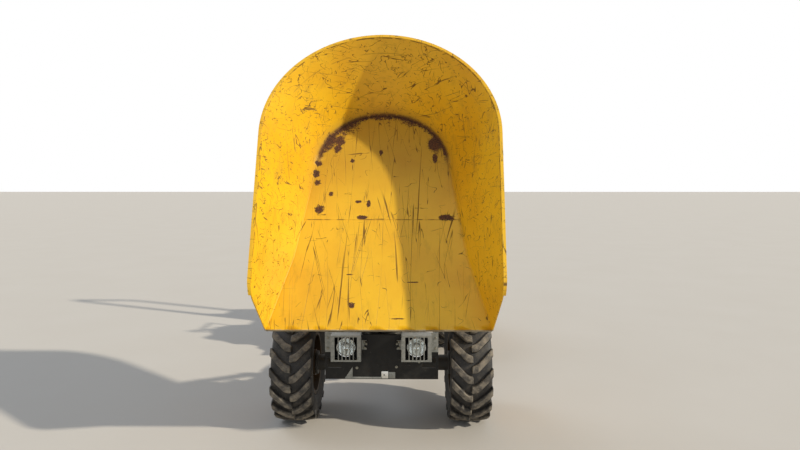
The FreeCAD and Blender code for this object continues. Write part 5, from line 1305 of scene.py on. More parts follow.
@dataclass
class FrontChassis:
    """The front frame's dress: the lamp plate's fasteners and brackets, guards and axle bolts."""

    finishes: Finishes
    dresser: Dresser
    bracket_x: float = 0.098
    saddle_top: float = 0.432
    case_circle: float = 0.0985
    race_circle: float = 0.232

    def build(self) -> None:
        """Dress the nodes and add the small parts."""
        f, d = self.finishes, self.dresser
        d.dress("front_frame", f.chassis, 2.5)
        d.dress("front_axle", f.iron, 3.0)
        d.dress("articulation_pin", f.steel, 2.0)
        d.dress("slew_ring", f.steel, 1.5)
        for side in Side:
            d.dress(f"lamp_guard_{side.word}", f.zinc, 1.2)
        self.plate_details()
        self.axle_bolts()

    def plate_details(self) -> None:
        """Add the lamp plate's bolts, brackets, blank plates, seams and hole edges."""
        f = self.finishes
        face_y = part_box("front_frame")[0].y
        guard_low, guard_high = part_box("lamp_guard_left")
        tab_x, wing_x = guard_low.x + 0.013, guard_high.x - 0.018
        lamp_z = middle("headlamp_left").z
        edge_z = low_of_plate(face_y)
        steel, sheet, seams, label = Piece(), Piece(), Piece(), Piece()

        def on_plate(x: float, z: float, ahead: float = 0.0) -> Matrix:
            """Return the placement on the plate, or so far ahead of it, that faces forwards."""
            return facing((x, face_y - ahead, z), (0, -1, 0))

        for side in Side:
            sign = side.value
            for x, rise in ((tab_x, 0.018), (tab_x, -0.018), (wing_x, 0.045), (wing_x, -0.022)):
                steel.bolt(on_plate(sign * x, lamp_z + rise, 0.006), 0.008)
            # A folded bracket beside each lamp, with one bolt
            x = sign * self.bracket_x
            sheet.block(on_plate(x, lamp_z - 0.012), (0.034, 0.020, 0.006), 0.004, kind=1)
            sheet.block(on_plate(x, lamp_z + 0.006), (0.020, 0.040, 0.012), 0.006, kind=1)
            steel.bolt(on_plate(x, lamp_z + 0.008, 0.012), 0.007)
        for x, z, size in ((-0.158, 0.424, 0.009), (0.094, 0.430, 0.009), (0.238, 0.462, 0.008)):
            steel.bolt(on_plate(x, z), size)
        sheet.block(on_plate(-0.115, edge_z + 0.010), (0.235, 0.012, 0.003), 0.002)
        corner = [Vector((x, face_y - 0.0025, edge_z + rise))
                  for x, rise in ((-0.236, 0.004), (-0.186, 0.004), (-0.186, 0.080))]
        sheet.loft([corner, [p + Vector((0, 0.003, 0)) for p in corner]])
        label.block(on_plate(0.020, edge_z + 0.028), (0.044, 0.046, 0.0015), 0.004)
        stud = [(0.0, 0.0045), (0.003, 0.004)]
        label.turned(stud, on_plate(0.016, edge_z + 0.028, 0.0012), 12, 1)
        label.object("front_blank_plate", "front_chassis", Slot.ZINC, [f.label, f.plastic])
        sheet.block(on_plate(0.066, edge_z + 0.026), (0.040, 0.042, 0.002), 0.003)
        for path in (((0.150, 0.440), (0.205, 0.475)), ((-0.29, 0.575), (-0.29, 0.62)),
                     ((0.29, 0.575), (0.29, 0.62))):
            seams.weld([Vector((x, face_y - 0.0005, z)) for x, z in path], 0.003)
        steel.object("front_plate_bolts", "front_chassis", Slot.STEEL, [f.bolt])
        sheet.object("front_plate_brackets", "front_chassis", Slot.ZINC, [f.zinc, f.chassis])
        seams.object("front_plate_welds", "front_chassis", Slot.CHASSIS, [f.chassis])

    def axle_bolts(self) -> None:
        """Bolt the axle's saddles, its case and the slew ring."""
        f = self.finishes
        axle = middle("front_axle")
        piece = Piece()
        for side in Side:
            for y in (-0.045, 0.045):
                for x in (0.112, 0.150):
                    piece.bolt(facing((side.value * x, axle.y + y, self.saddle_top), (0, y, 0.4)), 0.012)
        for sign in (-1, 1):
            for number in range(10):
                angle = 2 * math.pi * number / 10
                reach = (math.cos(angle) * self.case_circle, math.sin(angle) * self.case_circle)
                spot = axle + Vector((sign * 0.040, *reach))
                piece.bolt(facing(spot, (sign, 0, 0)), 0.008)
        race = middle("slew_ring")
        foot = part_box("slew_ring")[0].z
        for number in range(24):
            angle = 2 * math.pi * (number + 0.5) / 24
            x, y = self.race_circle * math.cos(angle), self.race_circle * math.sin(angle)
            piece.bolt(facing((race.x + x, race.y + y, foot), (0, 0, 1)), 0.010)
        piece.object("front_chassis_bolts", "front_chassis", Slot.STEEL, [f.bolt])


def low_of_plate(face_y: float) -> float:
    """Return the height of the lamp plate's lower edge."""
    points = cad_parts["front_frame"].data.vertices
    return min(v.co.z for v in points if abs(v.co.y - face_y) < 0.002)


@dataclass
class TippingGear:
    """The swivel console, its pins and both hydraulic cylinders."""

    finishes: Finishes
    dresser: Dresser
    base_thickness: float = 0.014
    base_gap: float = 0.0003
    base_circle: float = 0.185
    cheek_x: float = 0.119

    def build(self) -> None:
        """Dress the nodes and add bolts, keepers and glands."""
        f, d = self.finishes, self.dresser
        d.dress("swivel_console", f.chassis, 2.0)
        d.dress("tip_hinge_pin", f.steel, 2.0)
        d.dress("skip_underframe", f.skip_outside, 3.0)
        d.dress("tip_cylinder_barrel", f.chassis, 0.5)
        d.dress("tip_cylinder_rod", f.rod, 0.0)
        d.dress("steering_cylinder_barrel", f.chassis, 1.5)
        d.dress("steering_cylinder_rod", f.rod, 0.0)
        self.console_bolts()
        self.keepers()
        self.glands()

    def console_bolts(self) -> None:
        """Bolt the console's base to the slew ring's inner race."""
        piece = Piece()
        centre = middle("slew_ring")
        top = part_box("slew_ring")[1].z + self.base_gap + self.base_thickness
        for number in range(16):
            angle = 2 * math.pi * (number + 0.5) / 16
            x, y = self.base_circle * math.cos(angle), self.base_circle * math.sin(angle)
            # No bolt goes where a cheek stands
            if abs(abs(x) - self.cheek_x) >= 0.022:
                piece.bolt(facing((centre.x + x, centre.y + y, top), (0, 0, 1)), 0.012)
        piece.object("console_base_bolts", "console", Slot.STEEL, [self.finishes.bolt])

    def keepers(self) -> None:
        """Hold the hinge pin with a keeper plate and two screws on each end."""
        pin_low, pin_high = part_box("tip_hinge_pin")
        _, y, z = middle("tip_hinge_pin")
        piece = Piece()
        for sign, x in ((1, pin_high.x), (-1, pin_low.x)):
            place = facing((x, y, z), (sign, 0, 0))
            piece.turned([(-0.004, 0.0255), (-0.002, 0.0255), (0.0, 0.023)], place, 32)
            piece.turned([(-0.016, 0.0258), (-0.016, 0.029), (-0.010, 0.029), (-0.010, 0.0258)], place, 32)
            for shift in (-0.012, 0.012):
                piece.bolt(facing((x, y + shift, z), (sign, 0, 0)), 0.006, washer=False)
        piece.object("hinge_pin_keepers", "console", Slot.STEEL, [self.finishes.bolt])

    def glands(self) -> None:
        """Give both barrels a hexagonal gland with its wiper, a band and two ports with their plugs."""
        for name, body, radius, rod in (("tip_cylinder", "tip_barrel", 0.036, 0.020),
                                        ("steering_cylinder", "steer_barrel", 0.027, 0.014)):
            base, tip = self.barrel_axis(name)
            along = (tip - base).normalized()
            place = facing(tip, along)
            piece = Piece()
            piece.turned([(-0.004, rod + 0.0005), (-0.004, radius), (0.003, radius - 0.001),
                          (0.005, radius - 0.004), (0.005, rod + 0.0005)], place, 6, caps=False)
            piece.turned([(0.004, rod + 0.0006), (0.004, rod + 0.006), (0.009, rod + 0.004),
                          (0.0095, rod + 0.0006)], place, 32, 1, caps=False)
            piece.turned([(-0.055, radius + 0.0005), (-0.053, radius + 0.0022), (-0.049, radius + 0.0022),
                          (-0.047, radius + 0.0005)], place, 40, caps=False)
            up = Vector((1, 0, 0)) if name == "tip_cylinder" else Vector((0, 0, 1))
            side = along.cross(up).normalized()
            side = side if side.z > 0 else -side
            out = up if name == "steering_cylinder" else side
            for share in (0.80, 0.12):
                spot = base.lerp(tip, share) + out * (radius - 0.002)
                port = facing(spot, out)
                piece.turned([(0.0, 0.013), (0.007, 0.013), (0.009, 0.010)], port, 24)
                piece.turned([(0.009, 0.0095), (0.019, 0.0095), (0.021, 0.0078)], port, 6, 1)
            piece.object(f"{name}_gland", body, Slot.STEEL, [self.finishes.bolt, self.finishes.rubber])

    def barrel_axis(self, name: str) -> tuple[Vector, Vector]:
        """Return where a barrel's round body starts and where its gland ends, from the nodes' own points."""
        rod = [v.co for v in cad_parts[f"{name}_rod"].data.vertices]
        barrel = [v.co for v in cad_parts[f"{name}_barrel"].data.vertices]
        rod_middle = sum(rod, Vector()) / len(rod)
        barrel_middle = sum(barrel, Vector()) / len(barrel)
        along = (rod_middle - barrel_middle).normalized()
        for _ in range(3):
            reach = [(p - barrel_middle).dot(along) for p in barrel]
            end = max(reach)
            cap = [p for p, r in zip(barrel, reach) if r > end - 0.004]
            tip = sum(cap, Vector()) / len(cap)
            start = min(reach)
            foot = [p for p, r in zip(barrel, reach) if r < start + 0.080]
            base = Vector([(min(p[i] for p in foot) + max(p[i] for p in foot)) / 2 for i in range(3)])
            along = (tip - base).normalized()
        return base, tip


@dataclass
class RearChassis:
    """The rear frame, its steps, tank, silencer, ballast, lamps, fenders and rails."""

    finishes: Finishes
    dresser: Dresser
    stud_pitch: float = 0.034
    deck_top: float = 0.568
    deck_half: float = 0.394
    step_front_y: float = 0.145
    step_inner_x: float = 0.440
    can_x: float = -0.250
    post_x: float = 0.430
    post_foot_z: float = 0.574
    hinge_z: float = 1.300

    def build(self) -> None:
        """Dress the nodes and add treads, straps, lenses and bolts."""
        f, d = self.finishes, self.dresser
        for node, material, edge in (
                ("rear_frame", f.chassis, 2.5), ("rear_axle", f.iron, 3.0), ("platform", f.chassis, 1.2),
                ("engine_block", f.engine, 6.0), ("engine_bulkhead", f.chassis, 1.5),
                ("fuel_tank", f.chassis, 1.5), ("exhaust_muffler", f.heat, 1.5),
                ("rear_counterweight", f.weight, 5.0), ("rear_lamps", f.red, 3.0),
                ("rops_posts", f.chassis, 2.0), ("rops_hoop", f.chassis, 5.0), ("grab_rails", f.chassis, 0.0),
                ("fender_left", f.chassis, 1.2), ("fender_right", f.chassis, 1.2)):
            d.dress(node, material, edge)
        self.treads()
        self.fender_edges()
        self.rear_end()
        self.side_gear()
        self.roll_bar()

    def treads(self) -> None:
        """Raise the platform's chequer studs and the steps' toothed strips."""
        seat_y, dash_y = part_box("seat_base")[0].y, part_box("dash_console")[1].y
        levers_low, levers_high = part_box("control_levers")
        piece = Piece()
        rows = int((seat_y - dash_y + 0.04) / self.stud_pitch)
        for row in range(rows):
            y = dash_y - 0.055 + row * self.stud_pitch
            for column in range(-12, 13):
                x = column * self.stud_pitch + (row % 2) * self.stud_pitch / 2
                by_levers = levers_low.x - 0.02 < x < levers_high.x + 0.02 and y > levers_low.y - 0.02
                if abs(x) <= self.deck_half and not by_levers:
                    self.stud(piece, Vector((x, y, self.deck_top)), 0.7 if (row + column) % 2 else -0.7)
        # Each step by its height and how far out it reaches
        for side in Side:
            for z, reach in ((0.306, 0.600), (0.436, 0.530)):
                for row in range(6):
                    y = self.step_front_y + 0.030 + row * 0.038
                    x = self.step_inner_x
                    while x < reach - 0.016:
                        self.stud(piece, Vector((side.value * x, y, z)), 0.7 if row % 2 else -0.7)
                        x += 0.036
        piece.object("platform_tread_studs", "rear_chassis", Slot.CHASSIS, [self.finishes.chassis],
                     crease=60.0)

    def stud(self, piece: Piece, spot: Vector, turn: float) -> None:
        """Add one lens-shaped stud of the chequer plate."""
        place = Matrix.Translation(spot) @ Matrix.Rotation(turn, 4, "Z")
        long, wide, high = 0.012, 0.0045, 0.0018
        rings = []
        for share, rise in ((1.0, -0.0004), (0.82, high * 0.8), (0.5, high)):
            rings.append([place @ Vector((long * share * math.cos(a), wide * share * math.sin(a), rise))
                          for a in (2 * math.pi * k / 8 for k in range(8))])
        piece.loft(rings)

    def fender_edges(self) -> None:
        """Roll a bead along each fender's outer edge and bolt it to its skirt."""
        axle = middle("rear_axle")
        for side in Side:
            low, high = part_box(f"fender_{side.word}")
            outer = high.x if side is Side.LEFT else low.x
            radius = high.z - axle.z
            start = math.asin(min(1.0, (low.z - axle.z + 0.004) / radius))
            piece = Piece()
            path = [Vector((outer - side.value * 0.006, axle.y - (radius - 0.009) * math.cos(a),
                            axle.z + (radius - 0.009) * math.sin(a)))
                    for a in (blend(start, math.pi - start, k / 60) for k in range(61))]
            piece.tube(path, 0.006, 10)
            piece.object(f"fender_{side.word}_bead", "rear_chassis", Slot.CHASSIS, [self.finishes.chassis])
            bolts = Piece()
            for k in range(7):
                angle = blend(start + 0.12, math.pi - start - 0.12, k / 6)
                out = Vector((0, -math.cos(angle), math.sin(angle)))
                spot = Vector((side.value * 0.47, axle.y, axle.z)) + out * radius
                bolts.bolt(facing(spot, out), 0.008)
            bolts.object(f"fender_{side.word}_bolts", "rear_chassis", Slot.STEEL, [self.finishes.bolt])

    def rear_end(self) -> None:
        """Add the rear lamps' frames and lens ribs, and the ballast's bolts."""
        f = self.finishes
        lamp_low, lamp_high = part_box("rear_lamps")
        weight_low, weight_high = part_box("rear_counterweight")
        frames, ribs, bolts = Piece(), Piece(), Piece()
        width = 0.074
        for side in Side:
            x = side.value * (lamp_high.x - width / 2)
            z = (lamp_low.z + lamp_high.z) / 2
            place = facing((x, lamp_low.y, z), (0, 1, 0))
            frames.block(place, (width + 0.010, 0.070, 0.014), 0.008)
            for k in range(-4, 5):
                rib = facing((x + k * 0.007, lamp_high.y - 0.0022, z), (0, 1, 0))
                ribs.block(rib, (0.0036, 0.046, 0.0022), 0.0017, kind=1 if k * side.value > 1 else 0)
            for k in (-1, 1):
                bolts.bolt(facing((x + k * 0.039, lamp_low.y + 0.006, z), (0, 1, 0)), 0.004, washer=False)
        for x in (-0.14, 0.14):
            for z in (weight_low.z + 0.05, weight_high.z - 0.045):
                bolts.bolt(facing((x, lamp_low.y, z), (0, 1, 0)), 0.018)
        frames.object("rear_lamp_frames", "rear_chassis", Slot.PLASTIC, [f.plastic])
        ribs.object("rear_lamp_ribs", "rear_chassis", Slot.RED, [f.red, f.amber])
        bolts.object("rear_end_bolts", "rear_chassis", Slot.STEEL, [f.bolt])

    def side_gear(self) -> None:
        """Strap the tank, crown its cap, and band the silencer."""
        f = self.finishes
        low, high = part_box("fuel_tank")
        top = high.z - 0.030
        straps, cap = Piece(), Piece()
        for y in (low.y + 0.13, high.y - 0.06):
            place = facing(((low.x + high.x) / 2, y, (low.z + top) / 2), (0, 1, 0))
            rings = [rounded(high.x - low.x + 2 * grow, top - low.z + 2 * grow, 0.030 + grow, shift, place)
                     for grow, shift in ((-0.001, -0.014), (0.003, -0.014), (0.003, 0.014), (-0.001, 0.014))]
            straps.loft(rings, caps=False)
            straps.bolt(facing((low.x - 0.003, y, top - 0.05), (-1, 0, 0)), 0.008)
        straps.object("tank_straps", "rear_chassis", Slot.ZINC, [f.zinc])
        neck = Vector((blend(low.x, high.x, 1 / 3), low.y + 0.060, high.z))
        rings = []
        for height, reach in ((-0.016, 0.036), (-0.002, 0.036), (0.001, 0.033), (0.0015, 0.010)):
            ring = []
            for k in range(48):
                grip = reach + (0.0012 if k % 4 < 2 else -0.0006)
                angle = 2 * math.pi * k / 48
                ring.append(neck + Vector((grip * math.cos(angle), grip * math.sin(angle), height)))
            rings.append(ring)
        cap.loft(rings)
        cap.object("tank_cap", "rear_chassis", Slot.PLASTIC, [f.plastic])
        can_low, can_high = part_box("exhaust_muffler")
        bands = Piece()
        can_z = middle("exhaust_muffler").z
        band = [(0.0, 0.0515), (0.0, 0.0535), (0.003, 0.0545), (0.011, 0.0545), (0.014, 0.0535),
                (0.014, 0.0515)]
        for back in (0.004, 0.055, 0.226, 0.262):
            bands.turned(band, facing((self.can_x, can_low.y + back, can_z), (0, 1, 0)), 48, caps=False)
        pipe = facing((self.can_x, can_high.y - 0.006, can_z), (0, 1, 0))
        bands.turned([(0.0, 0.0222), (0.002, 0.0240), (0.006, 0.0240), (0.006, 0.0195), (-0.030, 0.0190)],
                     pipe, 36, caps=False)
        bands.object("silencer_bands", "rear_chassis", Slot.IRON, [f.heat])

    def roll_bar(self) -> None:
        """Add the roll bar's foot bolts, hinge nuts and locking bolts."""
        f = self.finishes
        foot_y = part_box("rops_posts")[0].y + 0.012
        hoop_y = middle("rops_hoop").y
        bolts, pins = Piece(), Piece()
        for side in Side:
            post_x = side.value * self.post_x
            for shift in (-0.020, 0.020):
                bolts.bolt(facing((post_x + shift, foot_y, self.post_foot_z), (0, 0, 1)), 0.008)
            for sign in (-1, 1):
                x, out = post_x + sign * 0.042, (sign, 0, 0)
                washer = [(0.0, 0.020), (0.003, 0.020), (0.004, 0.018)]
                bolts.turned(washer, facing((x, hoop_y, self.hinge_z), out), 24)
                bolts.bolt(facing((x + sign * 0.003, hoop_y, self.hinge_z), out), 0.014, washer=False)
                pins.bolt(facing((x, hoop_y, self.hinge_z - 0.085), out), 0.010)
        bolts.object("roll_bar_bolts", "rear_chassis", Slot.STEEL, [f.bolt])
        pins.object("roll_bar_lock_bolts", "rear_chassis", Slot.STEEL, [f.bolt])


@dataclass
class Station:
    """The operator's place: dash, wheel, levers, pedals and seat."""

    finishes: Finishes
    dresser: Dresser
    dash_normal: Point = (0.0, 0.35, 0.94)
    wheel_lean: float = math.radians(38.0)
    lever_stand: float = 0.330
    back_lean: float = math.radians(6.0)
    back_size: Point = (0.440, 0.420, 0.085)
    pad_gap: float = 0.006

    def build(self) -> None:
        """Dress the nodes and add controls, gauges and the padded seat."""
        f, d = self.finishes, self.dresser
        for node, material, edge in (
                ("dash_console", f.body, 3.0), ("steering_column", f.plastic, 2.0),
                ("steering_wheel", f.plastic, 0.0), ("control_levers", f.chassis, 1.5),
                ("foot_pedals", f.chassis, 1.5), ("seat_base", f.chassis, 3.0)):
            d.dress(node, material, edge)
        self.gauges()
        self.grips()
        self.pedal_pads()
        self.cushion()
        self.backrest()

    def gauges(self) -> None:
        """Set the gauge with its ticks and needle, the key switch and rockers on the dash's sloping top."""
        f = self.finishes
        bezel, face, glass, lights, switches = Piece(), Piece(), Piece(), Piece(), Piece()
        top_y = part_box("dash_console")[1].y - 0.105
        place = self.on_dash(0.0, top_y)
        bezel.turned([(-0.004, 0.046), (0.006, 0.046), (0.010, 0.043), (0.009, 0.039), (0.004, 0.038)],
                     place, 48, caps=False)
        face.turned([(0.001, 0.040), (0.003, 0.0385)], place, 48)
        glass.turned([(0.0055, 0.038), (0.0075, 0.030), (0.0082, 0.004)], place, 48)
        for k in range(11):
            angle = math.radians(-40 + 26 * k)
            tick = place @ Matrix.Rotation(angle, 4, "Z") @ Matrix.Translation((0.031, 0, 0.003))
            lights.block(tick, (0.008, 0.0016, 0.0008), 0.0006, 0.0002)
        needle = place @ Matrix.Rotation(2.2, 4, "Z") @ Matrix.Translation((0.013, 0, 0.0036))
        lights.block(needle, (0.030, 0.0018, 0.0008), 0.0007, 0.0002, kind=1)
        for number, x in enumerate((-0.175, -0.130, -0.085, 0.085, 0.130, 0.175)):
            seat = self.on_dash(x, top_y)
            switches.block(seat, (0.026, 0.044, 0.005), 0.004)
            tilt = Matrix.Rotation(math.radians(12 if number % 2 else -12), 4, "X")
            rocker = seat @ Matrix.Translation((0, 0, 0.004)) @ tilt
            switches.block(rocker, (0.019, 0.034, 0.007), 0.003, kind=1)
        key = self.on_dash(0.205, top_y + 0.030)
        switches.turned([(0.0, 0.015), (0.004, 0.015), (0.006, 0.011)], key, 28)
        bezel.object("gauge_bezel", "rear_chassis", Slot.PLASTIC, [f.plastic])
        face.object("gauge_face", "rear_chassis", Slot.PLASTIC, [f.dial])
        glass.object("gauge_glass", "rear_chassis", Slot.LAMP, [f.glass])
        lights.object("gauge_ticks", "rear_chassis", Slot.LAMP, [f.label, f.knob])
        switches.object("dash_switches", "rear_chassis", Slot.PLASTIC, [f.plastic, f.rubber])

    def on_dash(self, x: float, y: float) -> Matrix:
        """Return the placement on the dash's sloping top that looks away from it."""
        above = Vector((x, y, 2.0))
        _, spot, _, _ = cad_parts["dash_console"].ray_cast(above, Vector((0, 0, -1)))
        return facing(spot, self.dash_normal)

    def grips(self) -> None:
        """Cap the steering wheel's hub and put a bellows round each lever's foot."""
        f = self.finishes
        hub = Piece()
        place = facing(middle("steering_wheel"), (0, math.sin(self.wheel_lean), math.cos(self.wheel_lean)))
        hub.turned([(0.012, 0.030), (0.018, 0.030), (0.021, 0.026), (0.022, 0.006)], place, 36)
        hub.object("steering_wheel_cap", "rear_chassis", Slot.PLASTIC, [f.plastic])
        boots = Piece()
        levers = middle("control_levers")
        stand_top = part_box("control_levers")[0].z + self.lever_stand
        profile = [(0.0045 * k, 0.013 - 0.0011 * k + (0.0012 if k % 2 else -0.0008)) for k in range(7)]
        for number in (-1, 0, 1):
            foot = (levers.x + 0.030 * number, levers.y - 0.002, stand_top)
            boots.turned(profile, facing(foot, (0, -0.18, 1)), 24)
        boots.object("lever_boots", "rear_chassis", Slot.PLASTIC, [f.rubber])

    def pedal_pads(self) -> None:
        """Rib the pedals with moulded rubber."""
        piece = Piece()
        low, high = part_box("foot_pedals")
        for x in (-0.150, 0.150):
            lean = Matrix.Rotation(math.radians(-50), 4, "X")
            pedal = Matrix.Translation((x, high.y - 0.046, low.z + 0.046)) @ lean
            for k in range(-3, 4):
                flat = Matrix.Rotation(math.radians(-90), 4, "X")
                bar = pedal @ Matrix.Translation((0, 0.006, k * 0.014)) @ flat
                piece.block(bar, (0.070, 0.006, 0.004), 0.002)
        piece.object("pedal_ribs", "rear_chassis", Slot.PLASTIC, [self.finishes.rubber])

    def padded_form(self, width: float, depth: float, thick: float, corner: float, crown: float,
                    place: Matrix) -> Piece:
        """Return a crowned pad whose sides pull in, with two sewn channels across it.

        Args:
            width: its size on X.
            depth: its size on Y.
            thick: its thickness at the edge.
            corner: its corners' radius.
            crown: how far its middle stands above the edge.
            place: the placement of its underside's middle.

        Returns:
            The closed form.
        """
        piece = Piece()
        outline = rounded(width, depth, corner, 0.0, Matrix(), 9)
        rings: list[Ring] = []
        for level, inset in ((0.0, 0.014), (0.10, 0.005), (0.25, 0.001), (0.5, 0.0), (0.68, 0.003),
                             (0.74, 0.0015), (0.80, 0.004), (0.92, 0.012), (1.0, 0.026)):
            ring = []
            for p in outline:
                shrink = Vector((p.x * (1 - 2 * inset / width), p.y * (1 - 2 * inset / depth)))
                pull = 1 - 0.004 / width * (1 - abs(p.x) / (width / 2))
                ring.append(Vector((shrink.x * pull, shrink.y * pull, level * thick)))
            rings.append(ring)
        edge = rings[-1]
        for step in range(1, 14):
            share = 1 - step / 14
            ring = []
            for p in edge:
                x, y = p.x * share, p.y * share
                bulge = crown * (1 - share ** 2.2)
                groove = 0.0
                for seam in (-0.20, 0.20):
                    groove += 0.007 * math.exp(-((x - seam * width) / 0.007) ** 2)
                for seam in (-0.16, 0.16):
                    if abs(x) < 0.2 * width:
                        groove += 0.005 * math.exp(-((y - seam * depth) / 0.006) ** 2)
                ring.append(Vector((x, y, thick + bulge - groove * min(1.0, step / 3))))
            rings.append(ring)
        piece.loft([[place @ p for p in ring] for ring in rings])
        return piece

    def soften(self, pad: bpy.types.Object, cap: float) -> None:
        """Let cloth under pressure swell the pad a little, and keep the result.

        Args:
            pad: the pad's object.
            cap: how far a point may move.
        """
        before = [v.co.copy() for v in pad.data.vertices]
        cloth = pad.modifiers.new("swell", "CLOTH")
        cloth.settings.use_pressure = True
        cloth.settings.uniform_pressure_force = 4.0
        cloth.settings.quality = 6
        cloth.settings.effector_weights.gravity = 0.0
        scene = bpy.context.scene
        for number in range(1, 13):
            scene.frame_set(number)
        shaped = pad.evaluated_get(bpy.context.evaluated_depsgraph_get())
        after = [v.co.copy() for v in shaped.data.vertices]
        pad.modifiers.remove(cloth)
        scene.frame_set(1)
        for vertex, old, new in zip(pad.data.vertices, before, after):
            move = new - old
            if move.length > cap:
                move *= cap / move.length
            vertex.co = old + move * 0.6

    def cushion(self) -> None:
        """Build the seat cushion."""
        low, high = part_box("seat_cushion")
        centre = Vector(((low.x + high.x) / 2, (low.y + high.y) / 2, low.z + 0.001))
        width, depth, thick = high - low
        self.pad("seat_cushion", (width, depth, thick - 0.026), 0.050, 0.022, Matrix.Translation(centre))

    def backrest(self) -> None:
        """Build the backrest, leaning as its solid does."""
        low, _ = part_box("seat_backrest")
        width, height, thick = self.back_size
        foot = Vector((0, low.y, low.z + thick * math.sin(self.back_lean)))
        turn = Matrix.Translation(foot) @ Matrix.Rotation(-self.back_lean, 4, "X")
        # The pad's own axes: X across, Y up the backrest and Z towards the operator
        place = turn @ Matrix.Translation((0, thick, height / 2)) @ Matrix.Rotation(math.radians(90), 4, "X")
        self.pad("seat_backrest", (width, height, thick - 0.024), 0.068, 0.020, place)

    def pad(self, node: str, size: Point, corner: float, crown: float, place: Matrix) -> None:
        """Build a pad with a piping sewn into its edge, in place of a node's plain solid.

        Args:
            node: the frame's node.
            size: the room for it on X and Y, and its thickness at the edge.
            corner: its corners' radius.
            crown: how far its middle stands above the edge.
            place: the placement of its underside's middle.
        """
        width, depth, thick = size[0] - self.pad_gap, size[1] - self.pad_gap, size[2]
        piece = self.padded_form(width, depth, thick, corner, crown, place)
        pad = piece.object(f"{node}_pad", "rear_chassis", Slot.VINYL, [self.finishes.vinyl], crease=75.0,
                           replaces=[node])
        self.soften(pad, 0.004)
        smooth = pad.modifiers.new("round", "SUBSURF")
        smooth.levels = smooth.render_levels = 1
        piping = Piece()
        path = rounded(width - 0.004, depth - 0.004, corner, thick * 0.71, place, 8)
        piping.tube(path, 0.0028, 8, closed=True)
        piping.object(f"{node}_piping", "rear_chassis", Slot.VINYL, [self.finishes.vinyl])


@dataclass
class EngineHood:
    """The lifting hood's dress: louvre blades, latches, a handle and an edge seal."""

    finishes: Finishes
    dresser: Dresser

    def build(self) -> None:
        """Dress the hood and add its fittings."""
        f = self.finishes
        self.dresser.dress("engine_hood", f.body, 3.0)
        low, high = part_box("engine_hood")
        blades, fittings, seal = Piece(), Piece(), Piece()
        for number in range(6):
            z = low.z + 0.080 + 0.044 * number + 0.016
            section = [(-0.0045, 0.001), (-0.001, 0.002), (-0.011, -0.014), (-0.0145, -0.014)]
            rings = [[Vector((x, high.y + y, z + dz)) for y, dz in section] for x in (-0.241, 0.241)]
            blades.loft(rings)
        blades.object("hood_louvre_blades", "hood", Slot.BODY, [f.body])
        for side in Side:
            x = side.value * high.x
            spot = facing((x, high.y - 0.16, low.z + 0.050), (side.value, 0, 0))
            fittings.block(spot, (0.030, 0.052, 0.009), 0.005)
            fittings.block(spot @ Matrix.Translation((0, 0.004, 0.007)), (0.016, 0.040, 0.008), 0.004, kind=1)
        grip = [Vector((x, high.y + back, low.z + 0.040))
                for x, back in ((-0.060, -0.001), (-0.060, 0.022), (0.060, 0.022), (0.060, -0.001))]
        path = []
        for start, end in zip(grip, grip[1:]):
            path += [start.lerp(end, share) for share in (0.0, 0.35, 0.65)]
        path.append(grip[-1])
        fittings.tube(path, 0.006, 10, kind=1)
        fittings.object("hood_fittings", "hood", Slot.PLASTIC, [f.bolt, f.plastic])
        edge_x, inner_x = high.x - 0.002, high.x - 0.004
        front_y, rear_y = low.y + 0.125, high.y - 0.004
        for path in (((edge_x, front_y), (edge_x, rear_y)), ((-edge_x, front_y), (-edge_x, rear_y)),
                     ((-inner_x, high.y - 0.002), (inner_x, high.y - 0.002))):
            seal.tube([Vector((x, y, low.z + 0.001)) for x, y in path], 0.0035, 8)
        seal.object("hood_edge_seal", "hood", Slot.PLASTIC, [f.rubber])


